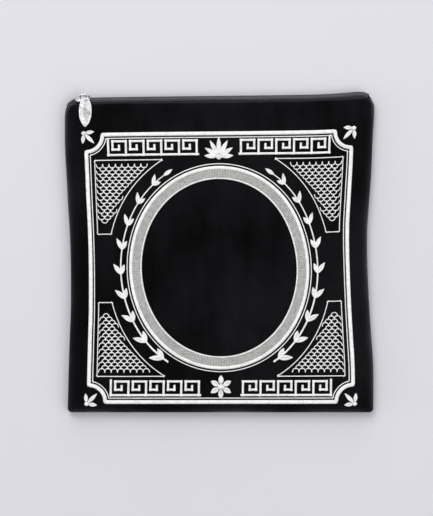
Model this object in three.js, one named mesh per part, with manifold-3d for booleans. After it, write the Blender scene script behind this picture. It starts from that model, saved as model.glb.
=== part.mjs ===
import * as THREE from "three";
import { mergeVertices } from "three/addons/utils/BufferGeometryUtils.js";
import Module from "manifold-3d";

// A flat velvet pouch with a zip along its top edge and a raised embroidered front, lying on its back.
// X runs across the bag, Y towards the zip and Z out of the front panel. Lengths are in millimetres.

const wasm = await Module();
wasm.setup();

// Driving dimensions
const WIDTH = 202;
const HEIGHT = 206;
const WALL = 1.6;
const GAP = 0.3;
const SEAM_HEIGHT = 3.5;
const ROLL_WIDTH = 6.5;
const ROLL_HEIGHT = 6;
const CROWN_HEIGHT = 4.5;
const CROWN_FULLNESS = 0.8;
const MOUTH_STRIP = 4.4;
const MOUTH_ROLL_WIDTH = 4;
const MOUTH_RIM_HEIGHT = 8.3;
const MOUTH_ROLL_HEIGHT = 1.2;
const MOUTH_BLEND = 0.25;
const MOUTH_END = 5;
const LEAST_CORNER = 0.6;
const CLOTH_CELL = 10.5;
const BACK_CELL = 27;
const ROLL_STEPS = 4;

const ZIP = {
  offset: 2.4,
  height: 5.65,
  tilt: Math.PI / 4,
  chainHalf: 1.95,
  chainLow: 0.55,
  chainHigh: 1.45,
  slitHalf: 1.0,
  tapeHalf: 0.25,
  tapeInner: 1.0,
  tapeFront: 3.0,
  tapeBack: 2.6,
  chainStart: 2.8 - WIDTH / 2,
  chainEnd: WIDTH / 2 - 3.8,
  tapeStart: 5.8 - WIDTH / 2,
  tapeEnd: WIDTH / 2 - 5.8,
  step: 12,
  bendStep: 0.9,
};

const SLIDER = {
  centre: 12.0 - WIDTH / 2,
  length: 9.8,
  half: 2.8,
  slotHalf: 2.3,
  slotTop: 1.8,
  top: 2.7,
  flangeLow: 0.65,
  floorTop: -0.6,
  floorLow: -1.4,
  floorHalf: 1.3,
  postHalf: 0.7,
  postFrom: -3.6,
  postTo: -1.4,
  crownCentre: 1.35,
  crownHalf: 2.9,
  crownHeight: 5.6,
  crownRadius: 0.65,
  crownBend: 1.1,
};

const PULL = {
  alongCrown: 0.7,
  eyeOuter: 1.75,
  eyeInner: 1.05,
  eyeHalf: 0.9,
  neckTo: 3.6,
  plateFrom: 2.6,
  plateTo: 21.4,
  half: 4.15,
  plateHalfThick: 0.4,
  rimHalfThick: 0.6,
  rimWidth: 0.9,
  rest: 0.35,
  pastRim: 1.5,
  feelStep: 0.4,
};

const STITCH = {
  low: 0.3,
  high: 1.15,
  sunk: 0.06,
  halfWidth: WIDTH / 2 - 12.7,
  top: HEIGHT / 2 - 23.5,
  bottom: 5.9 - HEIGHT / 2,
  rail: 2.6,
  notch: 11,
};

const KEY = {
  height: 10.4,
  line: 1.5,
  inset: 2.4,
  start: 14.5,
  units: 5,
  endGap: 4.8,
};
const KEY_PITCH = (STITCH.halfWidth - STITCH.notch - KEY.endGap - KEY.start) / KEY.units;
const KEY_TOP = STITCH.top - STITCH.rail - KEY.inset - KEY.height / 2;
const KEY_BOTTOM = STITCH.bottom + STITCH.rail + KEY.inset + KEY.height / 2;

const RING = {
  halfWidth: STITCH.halfWidth - 27.3,
  halfHeight: (STITCH.top - STITCH.bottom) / 2 - 22.3,
  band: 8.6,
};

const LAUREL = {
  pairs: 9,
  leafLength: 8.6,
  leafWidth: 3.3,
  stemWidth: 1.3,
  stemOffset: 5.6,
  from: -1.02,
  to: 1.0,
};

const PALMETTE = { reach: 12.8, width: 2.9, core: 2.6, below: 6.2, spread: 3, leaves: 7 };
const ROSETTE = { reach: 7.4, width: 3.4, core: 2.8, above: 0.9, petals: 6 };
const CORNER_FAN = { reach: 0.84 * STITCH.notch, width: 2.5, core: 1.9, spread: 1.8, leaves: 3 };

// Side edges, as shares of the width taken in at each share of the height
const SIDE_DRAW = [
  { up: 0.0, left: 0.0097, right: 0.0032 },
  { up: 0.14, left: 0.0129, right: 0.0032 },
  { up: 0.24, left: 0.0162, right: 0.0097 },
  { up: 0.34, left: 0.0194, right: 0.0162 },
  { up: 0.5, left: 0.0194, right: 0.0227 },
  { up: 0.6, left: 0.0162, right: 0.0227 },
  { up: 0.7, left: 0.0104, right: 0.0162 },
  { up: 0.8, left: 0.0055, right: 0.0097 },
  { up: 0.9, left: 0.0006, right: 0.0055 },
  { up: 1.0, left: 0.0, right: 0.0 },
];

// Top edge, as shares of the height that it stands over its middle level at each share of the width
const TOP_RISE = [
  { across: 0.0, rise: -0.0065 },
  { across: 0.08, rise: -0.0035 },
  { across: 0.3, rise: 0.0 },
  { across: 0.6, rise: 0.0032 },
  { across: 0.8, rise: 0.0062 },
  { across: 0.88, rise: 0.0098 },
  { across: 0.95, rise: 0.0152 },
  { across: 1.0, rise: 0.0135 },
];

// Corner arcs in plan: how far along and how far down each one reaches
const CORNERS = {
  topLeft: { along: 6.5, down: 7.5 },
  topRight: { along: 4.5, down: 5 },
  bottomLeft: { along: 3, down: 2.6 },
  bottomRight: { along: 3, down: 2.6 },
};

// Soft folds of the front, with place and half sizes as shares of the half width, and height in millimetres
const FOLDS = [
  { u: -0.74, v: 0.86, long: 0.3, wide: 0.085, turn: -28, height: 0.7 },
  { u: 0.72, v: 0.84, long: 0.32, wide: 0.09, turn: 32, height: 0.8 },
  { u: 0.9, v: 0.72, long: 0.2, wide: 0.07, turn: 82, height: -0.7 },
  { u: -0.88, v: 0.3, long: 0.32, wide: 0.09, turn: 84, height: -0.5 },
  { u: 0.2, v: -0.9, long: 0.4, wide: 0.08, turn: 3, height: -0.6 },
  { u: -0.7, v: -0.78, long: 0.3, wide: 0.09, turn: 40, height: 0.6 },
];

// Half width of the pull at shares of its length
const PULL_OUTLINE = [
  { along: 0.0, half: 0.34 },
  { along: 0.06, half: 0.6 },
  { along: 0.14, half: 0.79 },
  { along: 0.25, half: 0.93 },
  { along: 0.36, half: 0.985 },
  { along: 0.48, half: 1.0 },
  { along: 0.62, half: 0.95 },
  { along: 0.78, half: 0.76 },
  { along: 0.9, half: 0.48 },
  { along: 0.97, half: 0.26 },
  { along: 1.0, half: 0.12 },
];

// The two leaves of a pair: turn from the branch in radians, share of the full length, and how deep each is sunk
const LEAF_PAIR = [
  { turn: 0.42, reach: 0.8, depth: 1 },
  { turn: -0.62, reach: 1, depth: 2 },
];

const FINISH = {
  velvet: { color: 0x0b0b0d, roughness: 0.95, metalness: 0 },
  thread: { color: 0xe6e7e1, roughness: 0.5, metalness: 0 },
  fill: { color: 0xc6c6bd, roughness: 0.6, metalness: 0 },
  coil: { color: 0x3a3c42, roughness: 0.5, metalness: 0 },
  tape: { color: 0x1b1b1f, roughness: 0.9, metalness: 0 },
  metal: { color: 0xc8c9cc, roughness: 0.3, metalness: 1 },
};

// Value of one column of a table at t, drawn smoothly through the rows
function smooth(table, along, column, t) {
  const last = table.length - 1;
  const held = THREE.MathUtils.clamp(t, table[0][along], table[last][along]);
  let i = 0;
  while (i < last - 1 && held > table[i + 1][along]) i += 1;
  const before = table[Math.max(i - 1, 0)];
  const low = table[i];
  const high = table[i + 1];
  const after = table[Math.min(i + 2, last)];
  const span = high[along] - low[along];
  const s = (held - low[along]) / span;
  const slopeLow = ((high[column] - before[column]) / (high[along] - before[along])) * span;
  const slopeHigh = ((after[column] - low[column]) / (after[along] - low[along])) * span;
  const s2 = s * s;
  const s3 = s2 * s;
  return (
    (2 * s3 - 3 * s2 + 1) * low[column] +
    (s3 - 2 * s2 + s) * slopeLow +
    (3 * s2 - 2 * s3) * high[column] +
    (s3 - s2) * slopeHigh
  );
}

// A geometry from points and triangles, turned round if its faces point inwards
function closedGeometry(points, triangles) {
  let volume = 0;
  for (const [a, b, c] of triangles) {
    volume += points[a].dot(new THREE.Vector3().crossVectors(points[b], points[c]));
  }
  const order = volume < 0 ? triangles.map(([a, b, c]) => [a, c, b]) : triangles;
  const geometry = new THREE.BufferGeometry();
  geometry.setAttribute(
    "position",
    new THREE.Float32BufferAttribute(points.flatMap((p) => [p.x, p.y, p.z]), 3),
  );
  geometry.setIndex(order.flat());
  return geometry;
}

// A solid through rings of points that have one count; ends are capped unless the rings close on themselves
function loft(rings, closesUp = false) {
  const count = rings[0].length;
  const points = rings.flat();
  const triangles = [];
  const last = closesUp ? rings.length : rings.length - 1;
  for (let i = 0; i < last; i += 1) {
    const here = i * count;
    const next = ((i + 1) % rings.length) * count;
    for (let k = 0; k < count; k += 1) {
      const turn = (k + 1) % count;
      triangles.push([here + k, here + turn, next + turn], [here + k, next + turn, next + k]);
    }
  }
  if (!closesUp) {
    const end = (rings.length - 1) * count;
    for (let k = 1; k < count - 1; k += 1) {
      triangles.push([0, k + 1, k], [end, end + k, end + k + 1]);
    }
  }
  return closedGeometry(points, triangles);
}

// A geometry as a solid for joining and cutting
function toSolid(geometry) {
  const plain = new THREE.BufferGeometry();
  plain.setAttribute("position", geometry.getAttribute("position"));
  plain.setIndex(geometry.getIndex());
  const merged = mergeVertices(plain, 1e-4);
  return new wasm.Manifold(
    new wasm.Mesh({
      numProp: 3,
      vertProperties: new Float32Array(merged.getAttribute("position").array),
      triVerts: new Uint32Array(merged.getIndex().array),
    }),
  );
}

// The geometry of a solid
function fromSolid(solid) {
  const mesh = solid.getMesh();
  const geometry = new THREE.BufferGeometry();
  geometry.setAttribute("position", new THREE.Float32BufferAttribute(mesh.vertProperties, mesh.numProp));
  geometry.setIndex(Array.from(mesh.triVerts));
  return geometry;
}

// All geometries joined into one
function join(geometries) {
  return fromSolid(geometries.map(toSolid).reduce((whole, piece) => whole.add(piece)));
}

// How far a corner arc has dropped at a distance in from the side
function cornerDrop(corner, distance, inset) {
  const along = Math.max(corner.along - inset, LEAST_CORNER);
  const down = Math.max(corner.down - inset, LEAST_CORNER);
  const inside = Math.min(Math.max(distance - inset, 0), along);
  return down * (1 - Math.sqrt(1 - ((along - inside) / along) ** 2));
}

// Height of the top edge's middle level at a share across from -1 to 1
function topLevel(u) {
  return HEIGHT / 2 + HEIGHT * smooth(TOP_RISE, "across", "rise", (u + 1) / 2);
}

// Plan edges of a panel whose top edge stands a strip below the bag's top
function planEdges(u, v, strip) {
  const up = (v + 1) / 2;
  return {
    left: -WIDTH / 2 + WIDTH * smooth(SIDE_DRAW, "up", "left", up),
    right: WIDTH / 2 - WIDTH * smooth(SIDE_DRAW, "up", "right", up),
    bottom: -HEIGHT / 2,
    top: topLevel(u) - strip,
  };
}

// How much of the mouth's shape a point of the front panel takes, from 0 in the field to 1 at the mouth
function mouthShare(u, v) {
  const up = THREE.MathUtils.smoothstep(v, 1 - MOUTH_BLEND, 1);
  const inFromSide = ((1 - Math.abs(u)) * WIDTH) / 2;
  return up * THREE.MathUtils.smoothstep(inFromSide, 0, MOUTH_END);
}

// Height of the soft folds
function foldHeight(u, v) {
  let height = 0;
  for (const fold of FOLDS) {
    const turn = THREE.MathUtils.degToRad(fold.turn);
    const du = u - fold.u;
    const dv = v - fold.v;
    const along = (du * Math.cos(turn) + dv * Math.sin(turn)) / fold.long;
    const over = (dv * Math.cos(turn) - du * Math.sin(turn)) / fold.wide;
    height += fold.height * Math.exp(-along * along - over * over);
  }
  return height;
}

// Height of the front panel where the edge rolls have the given share of their full height
function frontHeight(u, v, roll, inset) {
  const mouth = mouthShare(u, v);
  const rim = SEAM_HEIGHT + (MOUTH_RIM_HEIGHT - SEAM_HEIGHT) * mouth;
  const rise = ROLL_HEIGHT + (MOUTH_ROLL_HEIGHT - ROLL_HEIGHT) * mouth;
  const crown = CROWN_HEIGHT * ((1 - u * u) * (1 - v * v)) ** CROWN_FULLNESS;
  return rim + (rise - inset) * roll + crown + foldHeight(u, v) * roll;
}

// Height of the back panel where the edge rolls have the given share of their full depth
function backHeight(u, v, roll, inset) {
  const rim = SEAM_HEIGHT - GAP;
  return rim + (inset - rim) * roll;
}

// Stations across a panel: close together on the edge rolls and a cell apart between them
function stations(length, lowRoll, highRoll, cell) {
  const list = [];
  for (let i = 0; i <= ROLL_STEPS; i += 1) {
    const angle = (Math.PI / 2) * (i / ROLL_STEPS);
    list.push({ edge: "low", reach: lowRoll, angle, at: lowRoll * (1 - Math.cos(angle)) });
  }
  const count = Math.round((length - lowRoll - highRoll) / cell);
  for (let i = 1; i < count; i += 1) {
    list.push({ edge: "none", at: lowRoll + ((length - lowRoll - highRoll) * i) / count });
  }
  for (let i = ROLL_STEPS; i >= 0; i -= 1) {
    const angle = (Math.PI / 2) * (i / ROLL_STEPS);
    list.push({ edge: "high", reach: highRoll, angle, at: length - highRoll * (1 - Math.cos(angle)) });
  }
  return list;
}

// Place of a station between two edges, with the wall taken off for the inner face
function placeStation(station, low, high, length, inset) {
  const scale = (high - low) / length;
  if (station.edge === "low") {
    return low + inset + (station.reach - inset) * (1 - Math.cos(station.angle));
  }
  if (station.edge === "high") {
    return high - inset - (station.reach - inset) * (1 - Math.cos(station.angle));
  }
  return low + station.at * scale;
}

// A panel as a thin closed dish
function panelShell({ strip, topRoll, cell, height }) {
  const tall = HEIGHT - strip;
  const across = stations(WIDTH, ROLL_WIDTH, ROLL_WIDTH, cell);
  const upward = stations(tall, ROLL_WIDTH, topRoll, cell);
  const face = (inset) =>
    upward.map((row) =>
      across.map((column) => {
        const u = (2 * column.at) / WIDTH - 1;
        const v = (2 * row.at) / tall - 1;
        const edges = planEdges(u, v, strip);
        const x = placeStation(column, edges.left, edges.right, WIDTH, inset);
        const fromSide = Math.min(x - edges.left, edges.right - x);
        const upper = u < 0 ? CORNERS.topLeft : CORNERS.topRight;
        const lower = u < 0 ? CORNERS.bottomLeft : CORNERS.bottomRight;
        const top = edges.top - cornerDrop(upper, fromSide, inset);
        const bottom = edges.bottom + cornerDrop(lower, fromSide, inset);
        const y = placeStation(row, bottom, top, tall, inset);
        const rollAcross = column.edge === "none" ? 1 : Math.sin(column.angle);
        const rollUp = row.edge === "none" ? 1 : Math.sin(row.angle);
        return new THREE.Vector3(x, y, height(u, v, rollAcross * rollUp, inset));
      }),
    );
  const outer = face(0);
  const inner = face(WALL);
  const columns = across.length;
  const rows = upward.length;
  const points = [...outer.flat(), ...inner.flat()];
  const shift = columns * rows;
  const index = (row, column) => row * columns + column;
  const triangles = [];
  for (let j = 0; j < rows - 1; j += 1) {
    for (let i = 0; i < columns - 1; i += 1) {
      const corners = [index(j, i), index(j, i + 1), index(j + 1, i + 1), index(j + 1, i)];
      const [a, b, c, d] = (i + j) % 2 ? corners : [corners[1], corners[2], corners[3], corners[0]];
      triangles.push([a, b, c], [a, c, d]);
      triangles.push([a + shift, c + shift, b + shift], [a + shift, d + shift, c + shift]);
    }
  }
  const loop = [];
  for (let i = 0; i < columns - 1; i += 1) loop.push(index(0, i));
  for (let j = 0; j < rows - 1; j += 1) loop.push(index(j, columns - 1));
  for (let i = columns - 1; i > 0; i -= 1) loop.push(index(rows - 1, i));
  for (let j = rows - 1; j > 0; j -= 1) loop.push(index(j, 0));
  loop.forEach((here, k) => {
    const next = loop[(k + 1) % loop.length];
    triangles.push([here, next + shift, next], [here, here + shift, next + shift]);
  });
  return closedGeometry(points, triangles);
}

// A point over the front panel's field, from flat pattern coordinates
function onCloth(flatX, flatY, lift) {
  const tall = HEIGHT - MOUTH_STRIP;
  const u = flatX / (WIDTH / 2);
  const v = (2 * (flatY + HEIGHT / 2)) / tall - 1;
  const edges = planEdges(u, v, MOUTH_STRIP);
  const x = THREE.MathUtils.lerp(edges.left, edges.right, (u + 1) / 2);
  const y = THREE.MathUtils.lerp(edges.bottom, edges.top, (v + 1) / 2);
  return new THREE.Vector3(x, y, frontHeight(u, v, 1, 0) + lift);
}

// A flat path with extra points so that no step is longer than the limit
function refinePath(path, limit, closesUp) {
  const fine = [];
  const last = closesUp ? path.length : path.length - 1;
  for (let i = 0; i < last; i += 1) {
    const from = path[i];
    const to = path[(i + 1) % path.length];
    const count = Math.max(1, Math.ceil(from.distanceTo(to) / limit));
    for (let k = 0; k < count; k += 1) fine.push(from.clone().lerp(to, k / count));
  }
  if (!closesUp) fine.push(path[path.length - 1].clone());
  return fine;
}

// A raised band of stitching along a flat path, with a width for each share of its length.
// A band that joins another one is sunk into it a little, so that their faces don't lie in one plane.
function ribbon(path, widthAt, closesUp = false, sunk = 0) {
  const low = STITCH.low + sunk;
  const high = STITCH.high - sunk;
  const count = path.length;
  const rings = path.map((point, i) => {
    const before = closesUp ? path[(i + count - 1) % count] : path[Math.max(i - 1, 0)];
    const after = closesUp ? path[(i + 1) % count] : path[Math.min(i + 1, count - 1)];
    const inward = point.clone().sub(before);
    const outward = after.clone().sub(point);
    if (inward.length() === 0) inward.copy(outward);
    if (outward.length() === 0) outward.copy(inward);
    inward.normalize();
    outward.normalize();
    const mean = inward.clone().add(outward).normalize();
    const mitre = 1 / Math.max(mean.dot(inward), 0.5);
    const half = (widthAt(i / (closesUp ? count : count - 1)) / 2) * mitre;
    const side = new THREE.Vector2(-mean.y, mean.x).multiplyScalar(half);
    const left = point.clone().add(side);
    const right = point.clone().sub(side);
    return [
      onCloth(left.x, left.y, low),
      onCloth(right.x, right.y, low),
      onCloth(right.x, right.y, high),
      onCloth(left.x, left.y, high),
    ];
  });
  return loft(rings, closesUp);
}

// A pointed leaf of stitching from a root towards an angle
function leaf(x, y, angle, length, width, sunk) {
  const shares = [0, 0.5, 1];
  const path = shares.map(
    (share) => new THREE.Vector2(x + Math.cos(angle) * length * share, y + Math.sin(angle) * length * share),
  );
  const widths = [0.45, 1, 0.1].map((part) => part * width);
  return ribbon(path, (share) => widths[Math.round(share * (widths.length - 1))], false, sunk);
}

// Outer rail with rounded notches at its corners
function borderFrame() {
  const half = STITCH.halfWidth - STITCH.rail / 2;
  const top = STITCH.top - STITCH.rail / 2;
  const bottom = STITCH.bottom + STITCH.rail / 2;
  const path = [];
  const notch = (cx, cy, startAngle) => {
    for (let i = 0; i <= 4; i += 1) {
      const angle = startAngle - (Math.PI / 2) * (i / 4);
      const x = cx + STITCH.notch * Math.cos(angle);
      path.push(new THREE.Vector2(x, cy + STITCH.notch * Math.sin(angle)));
    }
  };
  notch(-half, bottom, Math.PI / 2);
  notch(half, bottom, Math.PI);
  notch(half, top, -Math.PI / 2);
  notch(-half, top, 0);
  return ribbon(refinePath(path, 1.4 * CLOTH_CELL, true), () => STITCH.rail, true);
}

// One half of a key-pattern band, on the side given by a sign: a base line with a hooked key on it at each pitch
function keyBand(centreY, sign) {
  const half = (KEY.height - KEY.line) / 2;
  const step = KEY_PITCH / 4;
  const hooks = Array.from({ length: KEY.units }, (unused, i) => {
    const x = KEY.start + i * KEY_PITCH;
    return [
      [x, -half],
      [x, half],
      [x + 3 * step, half],
      [x + 3 * step, -half * 0.2],
      [x + 1.55 * step, -half * 0.2],
      [x + 1.55 * step, half * 0.32],
    ];
  });
  const end = KEY.start + KEY.units * KEY_PITCH;
  const base = [
    [KEY.start - KEY.line / 2, -half],
    [end, -half],
    [end, half],
  ];
  return join(
    [base, ...hooks].map((points, i) => {
      const path = points.map(([x, y]) => new THREE.Vector2(sign * x, centreY + y));
      return ribbon(refinePath(path, 2 * CLOTH_CELL, false), () => KEY.line, false, i ? STITCH.sunk : 0);
    }),
  );
}

// Place and outward angle on the oval, a distance outside its outer edge
function onOval(angle, outside) {
  const x = RING.halfWidth * Math.cos(angle);
  const y = RING.halfHeight * Math.sin(angle);
  const normal = Math.atan2(y / RING.halfHeight ** 2, x / RING.halfWidth ** 2);
  const middle = (STITCH.top + STITCH.bottom) / 2;
  return { x: x + outside * Math.cos(normal), y: middle + y + outside * Math.sin(normal), normal };
}

// Oval ring about the bare middle
function medallionRing() {
  const count = 56;
  const path = [];
  for (let i = 0; i < count; i += 1) {
    const place = onOval((2 * Math.PI * i) / count, -RING.band / 2);
    path.push(new THREE.Vector2(place.x, place.y));
  }
  return ribbon(path, () => RING.band, true);
}

// A branch with leaves in pairs along one side of the oval
function laurel(sign) {
  const { from, to } = LAUREL;
  const count = 18;
  const stem = [];
  for (let i = 0; i <= count; i += 1) {
    const place = onOval(from + ((to - from) * i) / count, LAUREL.stemOffset);
    stem.push(new THREE.Vector2(sign * place.x, place.y));
  }
  const pieces = [ribbon(stem, (share) => LAUREL.stemWidth * (1.1 - 0.5 * share))];
  for (let i = 0; i < LAUREL.pairs; i += 1) {
    const share = 0.03 + (0.9 * i) / (LAUREL.pairs - 1);
    const place = onOval(from + (to - from) * share, LAUREL.stemOffset);
    const onward = place.normal + Math.PI / 2;
    const scale = 1.05 - 0.3 * share;
    for (const { turn, reach, depth } of LEAF_PAIR) {
      const angle = onward + turn;
      const flipped = sign > 0 ? angle : Math.PI - angle;
      const length = LAUREL.leafLength * scale * reach;
      const width = LAUREL.leafWidth * scale;
      pieces.push(leaf(sign * place.x, place.y, flipped, length, width, STITCH.sunk * depth));
    }
  }
  return join(pieces);
}

// Leaves that grow from a round core at the given angles, each with its own reach from the middle
function burst(x, y, core, leaves, width) {
  const sides = 10;
  const disc = [STITCH.low, STITCH.high].map((lift) =>
    Array.from({ length: sides }, (unused, i) => {
      const angle = (2 * Math.PI * i) / sides;
      return onCloth(x + core * Math.cos(angle), y + core * Math.sin(angle), lift);
    }),
  );
  const root = core * 0.7;
  const pieces = leaves.map(({ angle, reach }, i) =>
    leaf(
      x + root * Math.cos(angle),
      y + root * Math.sin(angle),
      angle,
      reach - root,
      width,
      STITCH.sunk * (1 + (i % 2)),
    ),
  );
  return join([loft(disc), ...pieces]);
}

// A fan of leaves, longest in the middle
function fan(x, y, middle, { reach, width, core, spread, leaves }) {
  const list = Array.from({ length: leaves }, (unused, i) => {
    const share = i / (leaves - 1) - 0.5;
    return { angle: middle + spread * share, reach: reach * (1 - 0.55 * Math.abs(share)) };
  });
  return burst(x, y, core, list, width);
}

// A round flower of equal petals
function rosette(x, y, { reach, width, core, petals }) {
  const leaves = Array.from({ length: petals }, (unused, i) => ({
    angle: (2 * Math.PI * (i + 0.5)) / petals,
    reach,
  }));
  return burst(x, y, core, leaves, width);
}

// Frame on the zip at a place across: middle of the tape plane, direction along, across to the front, and up
function zipFrame(x) {
  const middle = (at) => {
    const u = at / (WIDTH / 2);
    const fromSide = Math.min(at + WIDTH / 2, WIDTH / 2 - at);
    const corner = at < 0 ? CORNERS.topLeft : CORNERS.topRight;
    const drop = cornerDrop(corner, fromSide, 0);
    return new THREE.Vector3(at, topLevel(u) - drop - ZIP.offset, ZIP.height);
  };
  const centre = middle(x);
  const reach = 0.2;
  const along = middle(x + reach).sub(middle(x - reach)).normalize();
  const inward = new THREE.Vector3(along.y, -along.x, 0);
  const up = new THREE.Vector3(0, 0, 1);
  const front = inward.clone().multiplyScalar(Math.cos(ZIP.tilt)).addScaledVector(up, Math.sin(ZIP.tilt));
  const out = new THREE.Vector3().crossVectors(front, along).negate();
  if (out.z < 0) out.negate();
  return { centre, along, front, out };
}

// Stations along the zip, close together where its left end bends down
function zipStations(from, to) {
  const bendEnd = -WIDTH / 2 + CORNERS.topLeft.along;
  const list = [];
  let x = from;
  while (x < to - 0.01) {
    list.push(x);
    x += x < bendEnd ? ZIP.bendStep : ZIP.step;
  }
  list.push(to);
  return list;
}

// A strip along the zip between two places across it and two heights over the tape plane
function zipStrip(from, to, back, front, low, high, chamfer = 0) {
  const section = chamfer
    ? [
        [back + chamfer, low],
        [front - chamfer, low],
        [front, low + chamfer],
        [front, high - chamfer],
        [front - chamfer, high],
        [back + chamfer, high],
        [back, high - chamfer],
        [back, low + chamfer],
      ]
    : [
        [back, low],
        [front, low],
        [front, high],
        [back, high],
      ];
  return loft(
    zipStations(from, to).map((x) => {
      const frame = zipFrame(x);
      return section.map(([across, over]) =>
        frame.centre.clone().addScaledVector(frame.front, across).addScaledVector(frame.out, over),
      );
    }),
  );
}

// The closed coil, with its two halves parted from the slider to the left end
function zipCoil() {
  const split = SLIDER.centre + SLIDER.postTo + GAP;
  const strip = (from, to, back, front) => zipStrip(from, to, back, front, ZIP.chainLow, ZIP.chainHigh, 0.2);
  return join([
    strip(split, ZIP.chainEnd, -ZIP.chainHalf, ZIP.chainHalf),
    strip(ZIP.chainStart, split + 1, -ZIP.chainHalf, -ZIP.slitHalf),
    strip(ZIP.chainStart, split + 1, ZIP.slitHalf, ZIP.chainHalf),
  ]);
}

// A prism on a rounded outline between two heights, in the slider's own frame
function roundedPlate(from, to, half, low, high, radius) {
  const outline = [];
  const arc = (cx, cy, start) => {
    for (let i = 0; i <= 3; i += 1) {
      const angle = start + (Math.PI / 2) * (i / 3);
      outline.push([cx + radius * Math.cos(angle), cy + radius * Math.sin(angle)]);
    }
  };
  arc(to - radius, half - radius, 0);
  arc(from + radius, half - radius, Math.PI / 2);
  arc(from + radius, -half + radius, Math.PI);
  arc(to - radius, -half + radius, (3 * Math.PI) / 2);
  return loft([low, high].map((z) => outline.map(([x, y]) => new THREE.Vector3(x, y, z))));
}

// A round bar along a path that lies in the XZ plane
function roundBar(path, radius, sides) {
  const rings = path.map((point, i) => {
    const before = path[Math.max(i - 1, 0)];
    const after = path[Math.min(i + 1, path.length - 1)];
    const along = after.clone().sub(before).normalize();
    const across = new THREE.Vector3(0, 1, 0);
    const over = new THREE.Vector3().crossVectors(along, across);
    return Array.from({ length: sides }, (unused, k) => {
      const angle = (2 * Math.PI * k) / sides;
      return point
        .clone()
        .addScaledVector(across, radius * Math.cos(angle))
        .addScaledVector(over, radius * Math.sin(angle));
    });
  });
  return loft(rings);
}

// Slider body: two plates, their post, side flanges and the crown
function sliderBody() {
  const from = -SLIDER.length / 2;
  const to = SLIDER.length / 2;
  const pieces = [
    roundedPlate(from, to, SLIDER.half, SLIDER.slotTop, SLIDER.top, 1.4),
    roundedPlate(from + 1, to - 1, SLIDER.floorHalf, SLIDER.floorLow, SLIDER.floorTop, 0.6),
    roundedPlate(SLIDER.postFrom, SLIDER.postTo, SLIDER.postHalf, SLIDER.floorLow + 0.1, SLIDER.top - 0.1, 0.3),
  ];
  for (const side of [-1, 1]) {
    const middle = (side * (SLIDER.slotHalf + SLIDER.half)) / 2;
    const half = (SLIDER.half - SLIDER.slotHalf) / 2;
    const flange = roundedPlate(from + 1.6, to - 1.6, half, SLIDER.flangeLow, SLIDER.top - 0.1, half * 0.5);
    pieces.push(flange.translate(0, middle, 0));
  }
  const path = [];
  const low = SLIDER.top - 0.3;
  const bend = SLIDER.crownBend;
  path.push(new THREE.Vector3(-SLIDER.crownHalf, 0, low));
  for (let i = 0; i <= 3; i += 1) {
    const angle = Math.PI - (Math.PI / 2) * (i / 3);
    path.push(
      new THREE.Vector3(
        -SLIDER.crownHalf + bend + bend * Math.cos(angle),
        0,
        SLIDER.crownHeight - bend + bend * Math.sin(angle),
      ),
    );
  }
  const mirrored = path.map((point) => new THREE.Vector3(-point.x, 0, point.z)).reverse();
  const crown = roundBar([...path, ...mirrored], SLIDER.crownRadius, 10);
  pieces.push(crown.translate(SLIDER.crownCentre, 0, 0));
  return join(pieces);
}

// Matrix that takes the slider's own frame to its place on the zip
function sliderPlace() {
  const frame = zipFrame(SLIDER.centre);
  const across = new THREE.Vector3().crossVectors(frame.out, frame.along);
  return new THREE.Matrix4().makeBasis(frame.along, across, frame.out).setPosition(frame.centre);
}

// Middle of the crown's bar, which the pull turns on
function pivotPoint() {
  return new THREE.Vector3(SLIDER.crownCentre + PULL.alongCrown, 0, SLIDER.crownHeight).applyMatrix4(sliderPlace());
}

// Tilt at which the pull's underside comes to rest on the front panel
function pullTilt() {
  const pivot = pivotPoint();
  let tilt = 0;
  const clothTop = topLevel(pivot.x / (WIDTH / 2)) - MOUTH_STRIP - PULL.pastRim;
  for (let reach = PULL.plateFrom; reach <= PULL.plateTo; reach += PULL.feelStep) {
    for (const side of [-1, 0, 1]) {
      const surface = onCloth(pivot.x + side * PULL.half, pivot.y - reach, 0);
      const over = surface.z + PULL.rest + PULL.rimHalfThick - pivot.z;
      if (surface.y < clothTop) tilt = Math.max(tilt, Math.atan2(over, reach));
    }
  }
  return tilt;
}

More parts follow.
